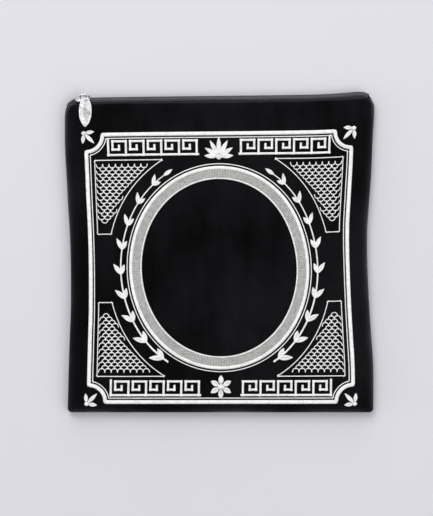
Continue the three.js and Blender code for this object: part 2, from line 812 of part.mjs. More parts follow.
// Pull: a long oval plate with a raised rim, a neck and an eye about the crown's bar
function pullTag() {
  const long = PULL.plateTo - PULL.plateFrom;
  const halfAt = (share) => PULL.half * smooth(PULL_OUTLINE, "along", "half", share);
  const steps = 16;
  const plate = loft(
    Array.from({ length: steps + 1 }, (unused, i) => {
      const share = i / steps;
      const half = halfAt(share) - PULL.rimWidth * 0.3;
      const y = -(PULL.plateFrom + long * share);
      return [
        new THREE.Vector3(-half, y, -PULL.plateHalfThick),
        new THREE.Vector3(half, y, -PULL.plateHalfThick),
        new THREE.Vector3(half, y, PULL.plateHalfThick),
        new THREE.Vector3(-half, y, PULL.plateHalfThick),
      ];
    }),
  );
  const outline = [];
  for (let i = 0; i <= steps; i += 1) outline.push([halfAt(i / steps), i / steps]);
  for (let i = steps; i >= 0; i -= 1) outline.push([-halfAt(i / steps), i / steps]);
  const middle = new THREE.Vector2(0, -(PULL.plateFrom + long / 2));
  const rim = loft(
    outline.map(([half, share]) => {
      const outer = new THREE.Vector2(half, -(PULL.plateFrom + long * share));
      const inner = outer.clone().add(middle.clone().sub(outer).normalize().multiplyScalar(PULL.rimWidth));
      return [
        new THREE.Vector3(outer.x, outer.y, -PULL.rimHalfThick * 0.75),
        new THREE.Vector3(outer.x, outer.y, PULL.rimHalfThick * 0.75),
        new THREE.Vector3(inner.x, inner.y, PULL.rimHalfThick),
        new THREE.Vector3(inner.x, inner.y, -PULL.rimHalfThick),
      ];
    }),
    true,
  );
  const sides = 14;
  const eye = loft(
    Array.from({ length: sides }, (unused, k) => {
      const angle = (2 * Math.PI * k) / sides;
      const at = (x, radius) => new THREE.Vector3(x, radius * Math.cos(angle), radius * Math.sin(angle));
      return [
        at(-PULL.eyeHalf, PULL.eyeInner),
        at(PULL.eyeHalf, PULL.eyeInner),
        at(PULL.eyeHalf, PULL.eyeOuter),
        at(-PULL.eyeHalf, PULL.eyeOuter),
      ];
    }),
    true,
  );
  const neckFrom = -(PULL.eyeInner + PULL.eyeOuter) / 2;
  const neck = loft(
    [neckFrom, -PULL.neckTo].map((y) => [
      new THREE.Vector3(-PULL.eyeHalf, y, -PULL.plateHalfThick),
      new THREE.Vector3(PULL.eyeHalf, y, -PULL.plateHalfThick),
      new THREE.Vector3(PULL.eyeHalf, y, PULL.plateHalfThick),
      new THREE.Vector3(-PULL.eyeHalf, y, PULL.plateHalfThick),
    ]),
  );
  return join([plate, rim, eye, neck]);
}

const group = new THREE.Group();

// Adds a named mesh to the bag
function addPiece(name, geometry, finish) {
  const mesh = new THREE.Mesh(geometry, new THREE.MeshStandardMaterial(finish));
  mesh.name = name;
  group.add(mesh);
  return mesh;
}

addPiece(
  "front_panel",
  panelShell({ strip: MOUTH_STRIP, topRoll: MOUTH_ROLL_WIDTH, cell: CLOTH_CELL, height: frontHeight }),
  FINISH.velvet,
);
addPiece(
  "back_panel",
  panelShell({ strip: 0, topRoll: ROLL_WIDTH, cell: BACK_CELL, height: backHeight }),
  FINISH.velvet,
);
addPiece(
  "zip_tape_front",
  zipStrip(ZIP.tapeStart, ZIP.tapeEnd, ZIP.tapeInner, ZIP.tapeFront, -ZIP.tapeHalf, ZIP.tapeHalf),
  FINISH.tape,
);
addPiece(
  "zip_tape_back",
  zipStrip(ZIP.tapeStart, ZIP.tapeEnd, -ZIP.tapeBack, -ZIP.tapeInner, -ZIP.tapeHalf, ZIP.tapeHalf),
  FINISH.tape,
);
addPiece("zip_coil", zipCoil(), FINISH.coil);
addPiece("zip_slider", sliderBody().applyMatrix4(sliderPlace()), FINISH.metal);

const pivot = pivotPoint();
const pull = pullTag();
pull.applyMatrix4(new THREE.Matrix4().makeRotationX(-pullTilt()));
addPiece("pull_tag", pull.translate(pivot.x, pivot.y, pivot.z), FINISH.metal);

addPiece("border_frame", borderFrame(), FINISH.thread);
addPiece("key_band_top_left", keyBand(KEY_TOP, -1), FINISH.thread);
addPiece("key_band_top_right", keyBand(KEY_TOP, 1), FINISH.thread);
addPiece("key_band_bottom_left", keyBand(KEY_BOTTOM, -1), FINISH.thread);
addPiece("key_band_bottom_right", keyBand(KEY_BOTTOM, 1), FINISH.thread);
addPiece("medallion_ring", medallionRing(), FINISH.fill);
addPiece("laurel_left", laurel(-1), FINISH.thread);
addPiece("laurel_right", laurel(1), FINISH.thread);
addPiece("palmette", fan(0, KEY_TOP - PALMETTE.below, Math.PI / 2, PALMETTE), FINISH.thread);
addPiece("rosette", rosette(0, KEY_BOTTOM + ROSETTE.above, ROSETTE), FINISH.thread);
for (const [name, side, y, angle] of [
  ["corner_fan_bottom_left", -1, STITCH.bottom, Math.PI / 4],
  ["corner_fan_bottom_right", 1, STITCH.bottom, (3 * Math.PI) / 4],
  ["corner_fan_top_left", -1, STITCH.top, -Math.PI / 4],
  ["corner_fan_top_right", 1, STITCH.top, (-3 * Math.PI) / 4],
]) {
  addPiece(name, fan(side * STITCH.halfWidth, y, angle, CORNER_FAN), FINISH.thread);
}

// The whole bag stands with the middle of its box's underside at the origin
const box = new THREE.Box3().setFromObject(group);
const middle = box.getCenter(new THREE.Vector3());
group.position.set(-middle.x, -middle.y, -box.min.z);
group.updateMatrixWorld(true);

export default group;
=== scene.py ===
"""A flat velvet pouch with a zip and raised satin embroidery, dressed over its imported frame.

The pouch lies on its back. X runs across it, Y towards its zip and Z out of its front. Sizes in the
classes are in millimetres, and meshes are made in metres.
"""

import logging
import math
from dataclasses import dataclass, field, replace
from enum import Enum
from typing import Callable, Dict, List, NamedTuple, Optional, Sequence, Tuple, Union

import bmesh
import bpy
import numpy as np
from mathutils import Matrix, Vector

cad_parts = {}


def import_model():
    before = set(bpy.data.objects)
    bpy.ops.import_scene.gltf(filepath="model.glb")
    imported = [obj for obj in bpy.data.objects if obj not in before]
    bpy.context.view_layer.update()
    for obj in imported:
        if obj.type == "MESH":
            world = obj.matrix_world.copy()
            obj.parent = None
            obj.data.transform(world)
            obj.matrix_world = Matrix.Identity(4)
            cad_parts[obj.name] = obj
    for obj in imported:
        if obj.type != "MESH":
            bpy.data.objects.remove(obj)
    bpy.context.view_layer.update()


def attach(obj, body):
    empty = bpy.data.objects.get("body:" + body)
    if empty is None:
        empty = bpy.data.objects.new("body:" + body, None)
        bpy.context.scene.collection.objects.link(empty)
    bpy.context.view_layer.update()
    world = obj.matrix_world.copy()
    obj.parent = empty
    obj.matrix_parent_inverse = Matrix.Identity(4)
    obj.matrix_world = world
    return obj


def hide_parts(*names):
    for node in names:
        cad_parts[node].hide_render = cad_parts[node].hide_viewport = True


LOG = logging.getLogger("pouch")
METRES = 0.001
BAG_BODY = "bag"
PULL_BODY = "pull"
Array = np.ndarray
Object = bpy.types.Object
Material = bpy.types.Material
Socket = bpy.types.NodeSocket
Triple = Tuple[float, float, float]


class SideRow(NamedTuple):
    """How far the side edges are drawn in at a share of the height, as shares of the width."""

    up: float
    left: float
    right: float


class TopRow(NamedTuple):
    """How far the top edge rises at a share of the width, as a share of the height."""

    across: float
    rise: float


class Corner(NamedTuple):
    """Reach of a corner's arc along the top or bottom edge and down the side."""

    along: float
    down: float


class Fold(NamedTuple):
    """A soft fold: place and half sizes as shares of the half width, turn in degrees, height."""

    u: float
    v: float
    long: float
    wide: float
    turn: float
    height: float


def smooth_rows(p: Array, v: Array, at: Array) -> Array:
    """Draw a smooth line through table rows.

    Args:
        p: where each row stands, rising.
        v: the row's value.
        at: where the line is read.

    Returns:
        The line's value at each place read.
    """
    held = np.clip(np.asarray(at, float), p[0], p[-1])
    i = np.clip(np.searchsorted(p, held, side="left") - 1, 0, len(p) - 2)
    before, after = np.maximum(i - 1, 0), np.minimum(i + 2, len(p) - 1)
    span = p[i + 1] - p[i]
    s = (held - p[i]) / span
    low_slope = (v[i + 1] - v[before]) / (p[i + 1] - p[before]) * span
    high_slope = (v[after] - v[i]) / (p[after] - p[i]) * span
    s2, s3 = s * s, s * s * s
    return (
        (2 * s3 - 3 * s2 + 1) * v[i]
        + (s3 - 2 * s2 + s) * low_slope
        + (3 * s2 - 2 * s3) * v[i + 1]
        + (s3 - s2) * high_slope
    )


def smooth_table(rows: Sequence[Sequence[float]], at: Array) -> List[Array]:
    """Return the smooth line of each column of a table whose first column is the place."""
    places, *columns = np.array(rows, float).T
    return [smooth_rows(places, column, at) for column in columns]


def smooth_step(low: float, high: float, value: Array) -> Array:
    """Rise softly from 0 at low to 1 at high."""
    t = np.clip((np.asarray(value, float) - low) / (high - low), 0, 1)
    return t * t * (3 - 2 * t)


@dataclass(frozen=True)
class PouchForm:
    """The pouch's own surface: its plan, its height and the soft folds in it."""

    width: float = 202
    height: float = 206
    wall: float = 1.6
    gap: float = 0.3
    seam_height: float = 3.5
    roll_width: float = 6.5
    roll_height: float = 6
    crown_height: float = 4.5
    crown_fullness: float = 0.8
    mouth_strip: float = 4.4
    mouth_roll_width: float = 4
    mouth_rim_height: float = 8.3
    mouth_roll_height: float = 1.2
    mouth_blend: float = 0.25
    mouth_end: float = 5
    shift_y: float = -1.5525
    slack: Optional[Array] = None
    sides: Tuple[SideRow, ...] = (
        SideRow(0.0, 0.0097, 0.0032),
        SideRow(0.14, 0.0129, 0.0032),
        SideRow(0.24, 0.0162, 0.0097),
        SideRow(0.34, 0.0194, 0.0162),
        SideRow(0.5, 0.0194, 0.0227),
        SideRow(0.6, 0.0162, 0.0227),
        SideRow(0.7, 0.0104, 0.0162),
        SideRow(0.8, 0.0055, 0.0097),
        SideRow(0.9, 0.0006, 0.0055),
        SideRow(1.0, 0.0, 0.0),
    )
    top_edge: Tuple[TopRow, ...] = (
        TopRow(0.0, -0.0065),
        TopRow(0.08, -0.0035),
        TopRow(0.3, 0.0),
        TopRow(0.6, 0.0032),
        TopRow(0.8, 0.0062),
        TopRow(0.88, 0.0098),
        TopRow(0.95, 0.0152),
        TopRow(1.0, 0.0135),
    )
    top_left: Corner = Corner(6.5, 7.5)
    top_right: Corner = Corner(4.5, 5)
    bottom_corner: Corner = Corner(3, 2.6)
    mouth_corner: Corner = Corner(8.5, 12)
    smallest_arc: float = 0.6
    folds: Tuple[Fold, ...] = (
        Fold(-0.74, 0.86, 0.3, 0.085, -28, 0.7),
        Fold(0.72, 0.84, 0.32, 0.09, 32, 0.8),
        Fold(0.9, 0.72, 0.2, 0.07, 82, -0.7),
        Fold(-0.88, 0.3, 0.32, 0.09, 84, -0.5),
        Fold(0.2, -0.9, 0.4, 0.08, 3, -0.6),
        Fold(-0.7, -0.78, 0.3, 0.09, 40, 0.6),
    )

    def top_level(self, u: Array) -> Array:
        """Return the top edge's height in plan at a share across from -1 to 1."""
        (rise,) = smooth_table(self.top_edge, (np.asarray(u) + 1) / 2)
        return self.height / 2 + self.height * rise

    def side_edges(self, v: Array) -> Tuple[Array, Array]:
        """Return the left and the right edge at a share up from -1 to 1."""
        left, right = smooth_table(self.sides, (np.asarray(v) + 1) / 2)
        return -self.width / 2 + self.width * left, self.width / 2 - self.width * right

    def corner_drop(self, corner: Corner, distance: Array, inset: float) -> Array:
        """Find how far a corner's arc has dropped.

        Args:
            corner: the corner's reach.
            distance: distance in from the side.
            inset: how much wall is taken off.

        Returns:
            The drop at each distance.
        """
        along = max(corner.along - inset, self.smallest_arc)
        down = max(corner.down - inset, self.smallest_arc)
        inside = np.clip(np.asarray(distance) - inset, 0, along)
        return down * (1 - np.sqrt(np.maximum(1 - ((along - inside) / along) ** 2, 0)))

    def mouth_share(self, u: Array, v: Array) -> Array:
        """Return how much of the mouth's shape a point of the front takes."""
        in_from_side = (1 - np.abs(u)) * self.width / 2
        return smooth_step(1 - self.mouth_blend, 1, v) * smooth_step(0, self.mouth_end, in_from_side)

    def fold_height(self, u: Array, v: Array) -> Array:
        """Find the height of the soft folds.

        Args:
            u: share across from -1 to 1.
            v: share up from -1 to 1.

        Returns:
            The height at each place.
        """
        total = np.zeros(np.broadcast(u, v).shape)
        for fold in self.folds:
            turn = math.radians(fold.turn)
            du, dv = u - fold.u, v - fold.v
            along = (du * math.cos(turn) + dv * math.sin(turn)) / fold.long
            over = (dv * math.cos(turn) - du * math.sin(turn)) / fold.wide
            total = total + fold.height * np.exp(-along * along - over * over)
        return total

    def slack_height(self, u: Array, v: Array) -> Array:
        """Read the height that slack cloth gains or loses smoothly off its grid.

        Args:
            u: share across from -1 to 1.
            v: share up from -1 to 1.

        Returns:
            The height at each place.
        """
        if self.slack is None:
            return np.zeros(np.broadcast(u, v).shape)
        grid = np.pad(self.slack, 1, mode="edge")
        cells = self.slack.shape[0] - 1

        def reads(share: Array) -> Tuple[Array, List[Array]]:
            """Find the cell that a share from -1 to 1 falls in, and the weights of four grid lines."""
            at = np.clip((np.asarray(share) + 1) / 2 * cells, 0, cells - 1e-6)
            cell = at.astype(int)
            t = at - cell
            weights = [(1 - t) ** 3, 3 * t**3 - 6 * t**2 + 4, -3 * t**3 + 3 * t**2 + 3 * t + 1, t**3]
            return cell, [w / 6 for w in weights]

        column, across = reads(u)
        row, upward = reads(v)
        return sum(
            grid[row + j, column + i] * upward[j] * across[i] for i in range(4) for j in range(4)
        )

    def front_height(self, u: Array, v: Array, roll: Array, inset: float = 0.0) -> Array:
        """Find the front panel's height.

        Args:
            u: share across from -1 to 1.
            v: share up from -1 to 1.
            roll: share of their full height that the edge rolls have there.
            inset: how much wall is taken off.

        Returns:
            The height at each place.
        """
        mouth = self.mouth_share(u, v)
        rim = self.seam_height + (self.mouth_rim_height - self.seam_height) * mouth
        rise = self.roll_height + (self.mouth_roll_height - self.roll_height) * mouth
        full = np.maximum((1 - u * u) * (1 - v * v), 0) ** self.crown_fullness
        soft = self.fold_height(u, v) + self.slack_height(u, v)
        return rim + (rise - inset) * roll + self.crown_height * full + soft * roll

    def back_height(self, u: Array, v: Array, roll: Array, inset: float = 0.0) -> Array:
        """Find the back panel's height, which takes the same values as the front's."""
        rim = self.seam_height - self.gap
        return rim + (inset - rim) * roll

    def on_cloth(self, flat: Array, lift: float) -> Array:
        """Lay flat pattern points over the front panel.

        Args:
            flat: flat pattern points, one row each.
            lift: height over the cloth.

        Returns:
            Points in the row's frame, one row each.
        """
        tall = self.height - self.mouth_strip
        u = flat[:, 0] / (self.width / 2)
        v = 2 * (flat[:, 1] + self.height / 2) / tall - 1
        left, right = self.side_edges(v)
        top = self.top_level(u) - self.mouth_strip
        x = left + (right - left) * (u + 1) / 2
        y = -self.height / 2 + (top + self.height / 2) * (v + 1) / 2
        z = self.front_height(u, v, np.ones_like(u)) + lift
        return np.column_stack([x, y + self.shift_y, z])

    def cloth_normal(self, flat: Array) -> Array:
        """Find the cloth's outward direction.

        Args:
            flat: flat pattern points, one row each.

        Returns:
            One unit vector for each point.
        """
        step = 0.5
        east = self.on_cloth(flat + [step, 0], 0) - self.on_cloth(flat - [step, 0], 0)
        north = self.on_cloth(flat + [0, step], 0) - self.on_cloth(flat - [0, step], 0)
        normal = np.cross(east, north)
        return normal / np.linalg.norm(normal, axis=1, keepdims=True)


def linked(name: str, mesh: bpy.types.Mesh) -> Object:
    """Make an object of a mesh and link it to the scene.

    Args:
        name: the object's name.
        mesh: its mesh.

    Returns:
        The object.
    """
    obj = bpy.data.objects.new(name, mesh)
    bpy.context.scene.collection.objects.link(obj)
    return obj


def mesh_object(name: str, points: Array, faces: Sequence[Sequence[int]], smooth: bool = True) -> Object:
    """Make an object from points in millimetres.

    Args:
        name: the piece's name.
        points: one row of x, y and z each.
        faces: indices of each face's corners.
        smooth: whether faces are shaded smooth.

    Returns:
        The new object, linked to the scene.
    """
    mesh = bpy.data.meshes.new(name)
    mesh.from_pydata((np.asarray(points, float) * METRES).tolist(), [], [list(f) for f in faces])
    mesh.polygons.foreach_set("use_smooth", [smooth] * len(mesh.polygons))
    mesh.update()
    return linked(name, mesh)


def loft_faces(rings: int, count: int, closes: bool, first: int = 0) -> List[Tuple[int, ...]]:
    """Find the faces of a skin over rings of points.

    Args:
        rings: how many rings there are.
        count: how many points a ring has.
        closes: whether the last ring joins the first. Where it doesn't, a face shuts each end.
        first: index of the first point.

    Returns:
        The faces as corner indices.
    """
    faces: List[Tuple[int, ...]] = []
    for i in range(rings if closes else rings - 1):
        here, after = first + i * count, first + ((i + 1) % rings) * count
        for k in range(count):
            turn = (k + 1) % count
            faces.append((here + k, here + turn, after + turn, after + k))
    if not closes:
        end = first + (rings - 1) * count
        faces.append(tuple(first + k for k in reversed(range(count))))
        faces.append(tuple(end + k for k in range(count)))
    return faces


def face_outwards(obj: Object) -> Object:
    """Turn a closed mesh right side out by the sign of its volume.

    Args:
        obj: the mesh's object.

    Returns:
        The same object.
    """
    bm = bmesh.new()
    bm.from_mesh(obj.data)
    bmesh.ops.recalc_face_normals(bm, faces=bm.faces)
    if bm.calc_volume(signed=True) < 0:
        bmesh.ops.reverse_faces(bm, faces=bm.faces)
    bm.to_mesh(obj.data)
    bm.free()
    return obj


def loft_object(name: str, rings: Sequence[Array], closes: bool) -> Object:
    """Make a closed skin, its faces outwards, over rings that have the same number of points."""
    points = np.vstack(rings)
    return face_outwards(mesh_object(name, points, loft_faces(len(rings), len(rings[0]), closes)))


def join_pieces(name: str, pieces: Sequence[Object]) -> Object:
    """Join mesh objects into one that has the first one's materials.

    Args:
        name: the joined piece's name.
        pieces: the objects.

    Returns:
        The joined piece.
    """
    bpy.ops.object.select_all(action="DESELECT")
    for piece in pieces:
        piece.select_set(True)
    bpy.context.view_layer.objects.active = pieces[0]
    if len(pieces) > 1:
        bpy.ops.object.join()
    pieces[0].name = name
    return pieces[0]


def enter(piece: Object, node: Optional[str] = None, body: str = BAG_BODY) -> Object:
    """Enter a finished piece in the frame.

    Args:
        piece: the piece.
        node: the CAD node that the piece stands for.
        body: the body that it rides on.

    Returns:
        The same piece.
    """
    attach(piece, body)
    if node:
        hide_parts(node)
    return piece


class NodeWriter:
    """A short way to write the nodes of a material or of a Geometry Nodes tree."""

    def __init__(self, tree: bpy.types.NodeTree) -> None:
        """Hold the tree that nodes are added to."""
        self.tree = tree

    def fill(self, socket: Socket, value: object) -> None:
        """Fill an input.

        Args:
            socket: the input.
            value: another socket to link to it, or a plain value.
        """
        if isinstance(value, Socket):
            self.tree.links.new(value, socket)
        else:
            socket.default_value = value

    def add(
        self, kind: str, inputs: Optional[Dict[Union[str, int], object]] = None, **settings: object
    ) -> bpy.types.Node:
        """Add a node.

        Args:
            kind: the node's type.
            inputs: what fills its inputs, by name or place.
            settings: the node's own settings.

        Returns:
            The node.
        """
        node = self.tree.nodes.new(kind)
        for key, value in settings.items():
            setattr(node, key, value)
        for key, value in (inputs or {}).items():
            self.fill(node.inputs[key], value)
        return node

    def calc(self, operation: str, first: object, second: object) -> Socket:
        """Return what an operation makes of two sockets or numbers."""
        return self.add("ShaderNodeMath", {0: first, 1: second}, operation=operation).outputs[0]


class Surface(NodeWriter):
    """A material with a principled surface, its patterns on the piece's own coordinates."""

    def __init__(self, name: str) -> None:
        """Start the material."""
        self.material = bpy.data.materials.new(name)
        self.material.use_nodes = True
        super().__init__(self.material.node_tree)
        self.shader = self.tree.nodes["Principled BSDF"]

    def place(self) -> Socket:
        """Return the piece's own coordinates."""
        return self.add("ShaderNodeTexCoord").outputs["Object"]

    def noise(
        self, scale: float, detail: float = 3, rough: float = 0.6, stretch: Optional[Triple] = None
    ) -> Socket:
        """Add a noise over the piece.

        Args:
            scale: how fine it is, in each metre.
            detail: how many finer layers it has.
            rough: how strong the finer layers are.
            stretch: a factor along each axis.

        Returns:
            The noise.
        """
        place = self.place()
        if stretch:
            place = self.add("ShaderNodeMapping", {"Vector": place, "Scale": stretch}).outputs["Vector"]
        inputs = {"Vector": place, "Scale": scale, "Detail": detail, "Roughness": rough}
        return self.add("ShaderNodeTexNoise", inputs).outputs["Fac"]

    def ramp(self, factor: Socket, low: float, first: Triple, high: float, last: Triple) -> Socket:
        """Draw a colour between two.

        Args:
            factor: what the colour follows.
            low: the factor up to which the first colour stands.
            first: the first colour.
            high: the factor from which the last colour stands.
            last: the last colour.

        Returns:
            The colour.
        """
        node = self.add("ShaderNodeValToRGB", {"Fac": factor})
        for element, at, colour in zip(node.color_ramp.elements, (low, high), (first, last)):
            element.position = at
            element.color = (*colour, 1)
        return node.outputs["Color"]

    def spread(self, factor: Socket, low: float, high: float) -> Socket:
        """Return a factor spread between two values."""
        inputs = {"Value": factor, "To Min": low, "To Max": high}
        return self.add("ShaderNodeMapRange", inputs).outputs["Result"]

    def sharpened(self, factor: Socket, low: float, high: float) -> Socket:
        """Return a factor that rises softly from 0 at low to 1 at high."""
        inputs = {"Value": factor, "From Min": low, "From Max": high}
        return self.add("ShaderNodeMapRange", inputs, interpolation_type="SMOOTHSTEP").outputs["Result"]

    def bump(self, height: Socket, strength: float, distance: float) -> None:
        """Add a bump on top of what the surface has so far.

        Args:
            height: the pattern.
            strength: how strong it is.
            distance: how deep it is, in metres.
        """
        inputs = {"Height": height, "Strength": strength, "Distance": distance}
        earlier = self.shader.inputs["Normal"].links
        if earlier:
            inputs["Normal"] = earlier[0].from_socket
        self.fill(self.shader.inputs["Normal"], self.add("ShaderNodeBump", inputs).outputs["Normal"])

    def dressed(self, **inputs: object) -> Material:
        """Fill the surface's inputs, named with underscores for spaces, and return the material."""
        for key, value in inputs.items():
            self.fill(self.shader.inputs[key.replace("_", " ")], value)
        return self.material


@dataclass(frozen=True)
class Velvet:
    """Black pile that takes light at its edges and where it is brushed over."""

    name: str = "black_velvet"
    deep: Triple = (0.0004, 0.0004, 0.0005)
    brushed: Triple = (0.0072, 0.0068, 0.0078)
    glint: Triple = (0.82, 0.83, 0.9)
    sheen: Tuple[float, float] = (0.09, 0.62)
    nap_share: float = 0.65
    lay_share: float = 0.45

    def build(self) -> Material:
        """Build the material.

        Returns:
            The material.
        """
        n = Surface(self.name)
        nap = n.noise(scale=17, detail=3, rough=0.5)
        stroke = n.noise(scale=75, detail=3, rough=0.6, stretch=(1.0, 0.3, 1.0))
        tuft = n.noise(scale=5200, detail=1, rough=0.6)
        brush = n.calc("MULTIPLY", stroke, 1 - self.nap_share)
        lay = n.calc("ADD", n.calc("MULTIPLY", nap, self.nap_share), brush)
        pile = n.calc("MULTIPLY", tuft, 1 - self.lay_share)
        speck = n.calc("ADD", n.calc("MULTIPLY", lay, self.lay_share), pile)
        n.bump(lay, strength=0.2, distance=0.005)
        n.bump(tuft, strength=0.24, distance=0.0003)
        return n.dressed(
            Base_Color=n.ramp(speck, 0.4, self.deep, 0.63, self.brushed),
            Roughness=1.0,
            Specular_IOR_Level=0.03,
            Sheen_Weight=n.spread(n.sharpened(lay, 0.34, 0.66), *self.sheen),
            Sheen_Roughness=n.spread(tuft, 0.2, 0.6),
            Sheen_Tint=(*self.glint, 1),
        )


@dataclass(frozen=True)
class Thread:
    """Smooth embroidery thread with a soft lustre."""

    name: str = "silver_thread"
    light: Triple = (0.97, 0.975, 0.95)
    dark: Triple = (0.8, 0.805, 0.78)
    rough: float = 0.4

    def build(self) -> Material:
        """Build the material.

        Returns:
            The material.
        """
        n = Surface(self.name)
        n.bump(n.noise(scale=7000, detail=1), strength=0.25, distance=0.00008)
        return n.dressed(
            Base_Color=n.ramp(n.noise(scale=420, detail=2), 0.3, self.dark, 0.62, self.light),
            Roughness=n.spread(n.noise(scale=900, detail=2), self.rough - 0.08, self.rough + 0.12),
            Specular_IOR_Level=0.5,
            Sheen_Weight=0.25,
            Sheen_Roughness=0.35,
        )


@dataclass(frozen=True)
class Nylon:
    """Dyed nylon of the zip's coil."""

    name: str = "charcoal_nylon"
    light: Triple = (0.085, 0.09, 0.102)
    dark: Triple = (0.051, 0.054, 0.0612)

    def build(self) -> Material:
        """Build the material.

        Returns:
            The material.
        """
        n = Surface(self.name)
        return n.dressed(
            Base_Color=n.ramp(n.noise(scale=500, detail=2), 0.3, self.dark, 0.7, self.light),
            Roughness=n.spread(n.noise(scale=1500, detail=2), 0.28, 0.46),
            Specular_IOR_Level=0.6,
        )


@dataclass(frozen=True)
class Woven:
    """Black woven tape with a fine rib."""

    name: str = "woven_tape"
    light: Triple = (0.012, 0.012, 0.014)
    dark: Triple = (0.006, 0.006, 0.007)
    ribs: float = 620

    def build(self) -> Material:
        """Build the material.

        Returns:
            The material.
        """
        n = Surface(self.name)
        inputs = {"Vector": n.place(), "Scale": self.ribs, "Distortion": 0.4, "Detail": 1}
        rib = n.add("ShaderNodeTexWave", inputs, wave_type="BANDS", bands_direction="X").outputs["Fac"]
        n.bump(rib, strength=0.6, distance=0.0003)
        return n.dressed(
            Base_Color=n.ramp(rib, 0.2, self.dark, 0.8, self.light),
            Roughness=0.85,
            Specular_IOR_Level=0.3,
            Sheen_Weight=0.15,
        )


@dataclass(frozen=True)
class Plating:
    """Bright nickel plating, a little worn, and pebbled where the pebbles have a strength."""

    name: str = "nickel_plating"
    bright: Triple = (0.72, 0.72, 0.73)
    dull: Triple = (0.5, 0.5, 0.52)
    pebble: float = 0.0

    def build(self) -> Material:
        """Build the material.

        Returns:
            The material.
        """
        n = Surface(self.name)
        wear = n.noise(scale=260, detail=5, rough=0.65)
        n.bump(n.noise(scale=2400, detail=3), strength=0.12, distance=0.0001)
        if self.pebble:
            grain = n.add("ShaderNodeTexVoronoi", {"Vector": n.place(), "Scale": 1900}).outputs["Distance"]
            n.bump(grain, self.pebble, distance=0.00022)
        return n.dressed(
            Base_Color=n.ramp(wear, 0.35, self.dull, 0.6, self.bright),
            Metallic=1.0,
            Roughness=n.spread(wear, 0.38, 0.2),
        )


@dataclass(frozen=True)
class Plaster:
    """Matt pale floor."""

    name: str = "pale_floor"
    light: Triple = (0.66, 0.655, 0.68)
    dark: Triple = (0.6501, 0.645175, 0.6698)

    def build(self) -> Material:
        """Build the material.

        Returns:
            The material.
        """
        n = Surface(self.name)
        return n.dressed(
            Base_Color=n.ramp(n.noise(scale=9, detail=3), 0.3, self.dark, 0.7, self.light),
            Roughness=0.9,
            Specular_IOR_Level=0.2,
        )


class ThreadLay(NamedTuple):
    """Spacing, width and rise of a run's threads, and how unevenly they slant."""

    pitch: float
    width: float
    rise: float
    slant_jitter: float


class StitchKind(Enum):
    """How threads lie: across a run, along it, or along it with gaps."""

    SATIN = ThreadLay(0.33, 0.2, 0.9, 0.035)
    LINE = ThreadLay(1.05, 0.31, 0.5, 0.05)
    FILL = ThreadLay(2.15, 0.27, 0.62, 0.05)


class SewnLine(NamedTuple):
    """A line on the cloth that items are repeated along, with how far each reaches and lies."""

    points: Array
    half: Array
    slant: Array
    up: Array
    closes: bool = False
    pace: float = 1.0

    @classmethod
    def even(cls, points: Array, half: float, slant: float, up: Array) -> "SewnLine":
        """Return a line whose items all have one reach and one slant."""
        count = len(points)
        return cls(points, np.full(count, half), np.full(count, slant), np.broadcast_to(up, (count, 3)))


@dataclass
class StitchRun:
    """A flat path with the half length and the slant of the stitches on it."""

    path: Array
    half: Array
    slant: Array
    closes: bool = False
    pace: float = 1.0

    @classmethod
    def satin(
        cls, path: Array, width: Union[float, Array], slant: float = 0.0, closes: bool = False
    ) -> "StitchRun":
        """Return a run of a width whose threads cross the path, at a slant from square."""
        half = np.broadcast_to(np.asarray(width, float) / 2, len(path)).copy()
        return cls(np.asarray(path, float), half, np.full(len(path), slant), closes)

    @classmethod
    def line(cls, path: Array, stitch: float, closes: bool = False, pace: float = 1.0) -> "StitchRun":
        """Return a run whose stitches follow the path, a pace times the usual pitch apart."""
        half, along = np.full(len(path), stitch / 2), np.full(len(path), math.pi / 2)
        return cls(np.asarray(path, float), half, along, closes, pace)

    def refined(self, limit: float) -> "StitchRun":
        """Make the same run with no step longer than a limit.

        Args:
            limit: the longest step.

        Returns:
            The finer run.
        """
        loop = np.vstack([self.path, self.path[:1]]) if self.closes else self.path
        values = np.column_stack([self.half, self.slant])
        values = np.vstack([values, values[:1]]) if self.closes else values
        points, facts = [], []
        for i in range(len(loop) - 1):
            steps = max(1, math.ceil(np.linalg.norm(loop[i + 1] - loop[i]) / limit))
            for k in range(steps):
                points.append(loop[i] + (loop[i + 1] - loop[i]) * k / steps)
                facts.append(values[i] + (values[i + 1] - values[i]) * k / steps)
        if not self.closes:
            points.append(loop[-1])
            facts.append(values[-1])
        facts_array = np.array(facts)
        return StitchRun(np.array(points), facts_array[:, 0], facts_array[:, 1], self.closes, self.pace)


@dataclass(frozen=True)
class Repeat:
    """What is repeated along lines: the item, its finish, its spacing, its size and its unevenness."""

    item: Object
    finish: Material
    pitch: float
    width: float
    height: float
    slant_jitter: float = 0.0
    height_jitter: float = 0.0
    flip: float = 0.0
    seed: int = 1

    def inputs(self) -> Dict[str, object]:
        """Return the tree's inputs by name."""
        return {
            "Item": self.item,
            "Pitch": self.pitch * METRES,
            "Item Width": self.width * METRES,
            "Item Height": self.height * METRES,
            "Slant Jitter": self.slant_jitter,
            "Height Jitter": self.height_jitter,
            "Flip Alternate": self.flip,
            "Seed": self.seed,
            "Finish": self.finish,
        }


